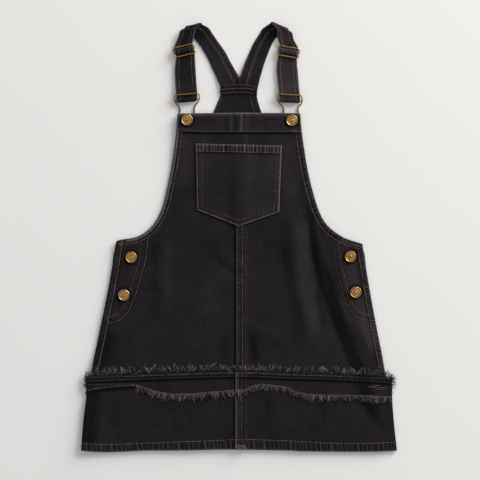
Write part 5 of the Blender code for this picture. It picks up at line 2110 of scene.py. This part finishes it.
@dataclass
class Button:
    """A tack button: a rim, a groove, a low dome and a boss, turned round an upright axis."""

    node: str
    profile: Line = (
        (4.2, 0.0), (4.2, 1.2), (8.5, 1.35), (9.15, 1.6), (9.35, 2.05), (9.2, 2.55), (8.75, 2.85),
        (8.25, 2.7), (7.85, 2.3), (7.4, 2.2), (6.6, 2.4), (5.4, 2.75), (4.2, 2.95), (3.1, 3.0), (2.5, 2.85),
        (2.1, 2.8), (1.8, 2.95), (1.4, 3.2), (0.8, 3.3), (0.3, 3.32),
    )
    groove: float = 7.6
    dimple: float = 2.3
    sides: int = 48

    def build(self, wardrobe: Wardrobe) -> Any:
        """Makes the button.

        Args:
            wardrobe: The materials.

        Returns:
            The object.
        """
        curve = through(self.profile, 2)
        angle = 2 * math.pi * np.arange(self.sides) / self.sides
        radius, height = curve[:, :1], curve[:, 1:]
        points = np.stack([radius * np.cos(angle), radius * np.sin(angle), height + 0 * angle], axis=-1)
        index = np.arange(len(curve) * self.sides).reshape(len(curve), self.sides)
        faces = [ring_faces(index[:-1], index[1:])[:, FLIPPED], np.stack([index[0, ::-1], index[-1]])]
        hollow_and_shade = 0.8 * bump(curve[:, 0] - self.groove, 0.6) + 0.7 * bump(curve[:, 0] - self.dimple, 0.6)
        marks = {"hollow_and_shade": np.repeat(hollow_and_shade * soft(curve[:, 1] - 1.5), self.sides)}
        piece = mesh_object(f"{self.node}_brass", points.reshape(-1, 3) + seat(self.node), faces, marks, 50)
        return finish_piece(piece, wardrobe.button, Slot.BRASS, self.node)


# ---- The whole ----


@dataclass
class Garment:
    """The pinafore dress: every piece of cloth, its frays and stitches, and its brass."""

    wardrobe: Wardrobe
    front_sewing: Sewing = field(default_factory=lambda: Sewing("stitches_front"))
    back_sewing: Sewing = field(default_factory=lambda: Sewing("stitches_back"))

    def __post_init__(self) -> None:
        """Cuts the back and the front's bands."""
        self.back, self.back_hem, self.back_band = BackPanel(), BackHem(), BackBand()
        self.left_band = SkirtBand(Side.LEFT, -5.3, -255.4, far_tone=0.4, foot_pallor=0.77)
        self.right_band = SkirtBand(Side.RIGHT, LAP_LEFT - BAND_SHIFT, 253.8, far_tone=0.0, foot_pallor=0.92)

    def build(self) -> None:
        """Makes every piece, from the floor up."""
        halves = [kind(side) for kind in (FrontHalf, HemPanel) for side in Side]
        for cloth in (self.back, self.back_hem, self.back_band, YokeFacing()):
            cloth.build(self.wardrobe, self.back_sewing)
        for cloth in (*halves, self.left_band, self.right_band, BibBand(), BibPocket()):
            cloth.build(self.wardrobe, self.front_sewing)
        for band in (self.back_band, self.left_band, self.right_band):
            [fray.build(self.wardrobe) for fray in band.frays()]
        straps = [strap.build(self.wardrobe, self.back_sewing) for strap in STRAPS]
        self.tack()
        self.sew_under()
        for sewing in (self.front_sewing, self.back_sewing):
            sewing.build(self.wardrobe)
        for side in Side:
            Slider(side).build(self.wardrobe)
            Hook(side).build(self.wardrobe)
        for node in sorted(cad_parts):
            if node.startswith("button_"):
                Button(node).build(self.wardrobe)

    def tack(self) -> None:
        """Sews the left band's tack line and the right band's bars of close stitches."""
        left, right = self.left_band, self.right_band
        bars = (
            (left, ((-251.5, -244.6), (-172.5, -244.2)), 0.12),
            (right, ((214, -248.9), (231, -249.7)), 0.42),
            (right, ((222, -246.2), (236, -246.8)), 0.42),
            (right, ((232, -249.9), (243.5, -250.3)), 0.42),
            (right, ((227.5, -252.6), (243.5, -252.9)), 0.42),
            (right, ((243.6, -247.5), (243.9, -253)), 0.42),
        )
        for band, line, tone in bars:
            self.front_sewing.sew_face(np.array(line, float), band.top, row=Row(0.0, tone))

    def sew_under(self) -> None:
        """Sews the rows that show on the back's outer side, which lies on the floor."""
        back, back_hem, back_band = self.back, self.back_hem, self.back_band
        for path in (beside(back_band.line, -2.0), beside(back_band.foot, 2.0)):
            self.back_sewing.sew_face(path, back_band.under, -1.0)
        self.back_sewing.sew_face(beside(back_hem.foot, HEM_TURN)[2:-2], back_hem.under, -1.0)
        for seam in back.seams:
            for path, row in seam.paths():
                self.back_sewing.sew_face(path[path[:, 1] > -195], back.under, -1.0, row)


@dataclass
class Studio:
    """A pale floor, one broad low light from the upper right, and a camera that looks straight down."""

    field_width: float = 0.8
    height: float = 2.4
    aim: Span = (0.0015, -0.0047)
    ambient: float = 0.435
    ambient_colour: Colour = (1.0, 1.0, 0.995, 1.0)
    key_power: float = 900.0
    key_colour: tuple[float, float, float] = (1.0, 0.99, 0.97)
    key_size: Span = (5.4, 3.2)
    key_place: tuple[float, float, float] = (4.9, 4.9, 1.9)
    floor_half: float = 8.0
    floor_depth: float = 0.0002
    sensor: float = 36.0

    def lay_floor(self) -> None:
        """Makes the floor: one square, just below the garment."""
        s, z = self.floor_half, -self.floor_depth
        mesh = bpy.data.meshes.new("floor")
        mesh.from_pydata([(-s, -s, z), (s, -s, z), (s, s, z), (-s, s, z)], [], [(0, 1, 2, 3)])
        mesh.materials.append(PaperFinish().material())
        linked("floor", mesh)

    def light(self) -> None:
        """Makes the ambient light and the key light, which faces the origin."""
        world = bpy.data.worlds.new("studio")
        world.use_nodes = True
        backdrop = world.node_tree.nodes["Background"]
        backdrop.inputs["Color"].default_value = self.ambient_colour
        backdrop.inputs["Strength"].default_value = self.ambient
        bpy.context.scene.world = world
        lamp = bpy.data.lights.new("key", "AREA")
        lamp.shape, lamp.size, lamp.size_y = "RECTANGLE", *self.key_size
        lamp.energy, lamp.color = self.key_power, self.key_colour
        key = linked("key", lamp)
        key.location = self.key_place
        key.rotation_euler = key.location.to_track_quat("Z", "Y").to_euler()
        key.visible_camera = False

    def build(self) -> None:
        """Makes the floor, the lights and the camera."""
        scene = bpy.context.scene
        scene.view_settings.view_transform = "Standard"
        self.lay_floor()
        self.light()
        lens = bpy.data.cameras.new("camera")
        lens.sensor_width, lens.lens = self.sensor, self.sensor * self.height / self.field_width
        camera = linked("camera", lens)
        camera.location = (*self.aim, self.height)
        scene.camera = camera


def main() -> None:
    """Builds the garment and its studio."""
    logging.basicConfig(level=logging.INFO, format="%(name)s: %(message)s")
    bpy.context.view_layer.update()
    Garment(Wardrobe()).build()
    Studio().build()


if __name__ == "__main__":
    main()
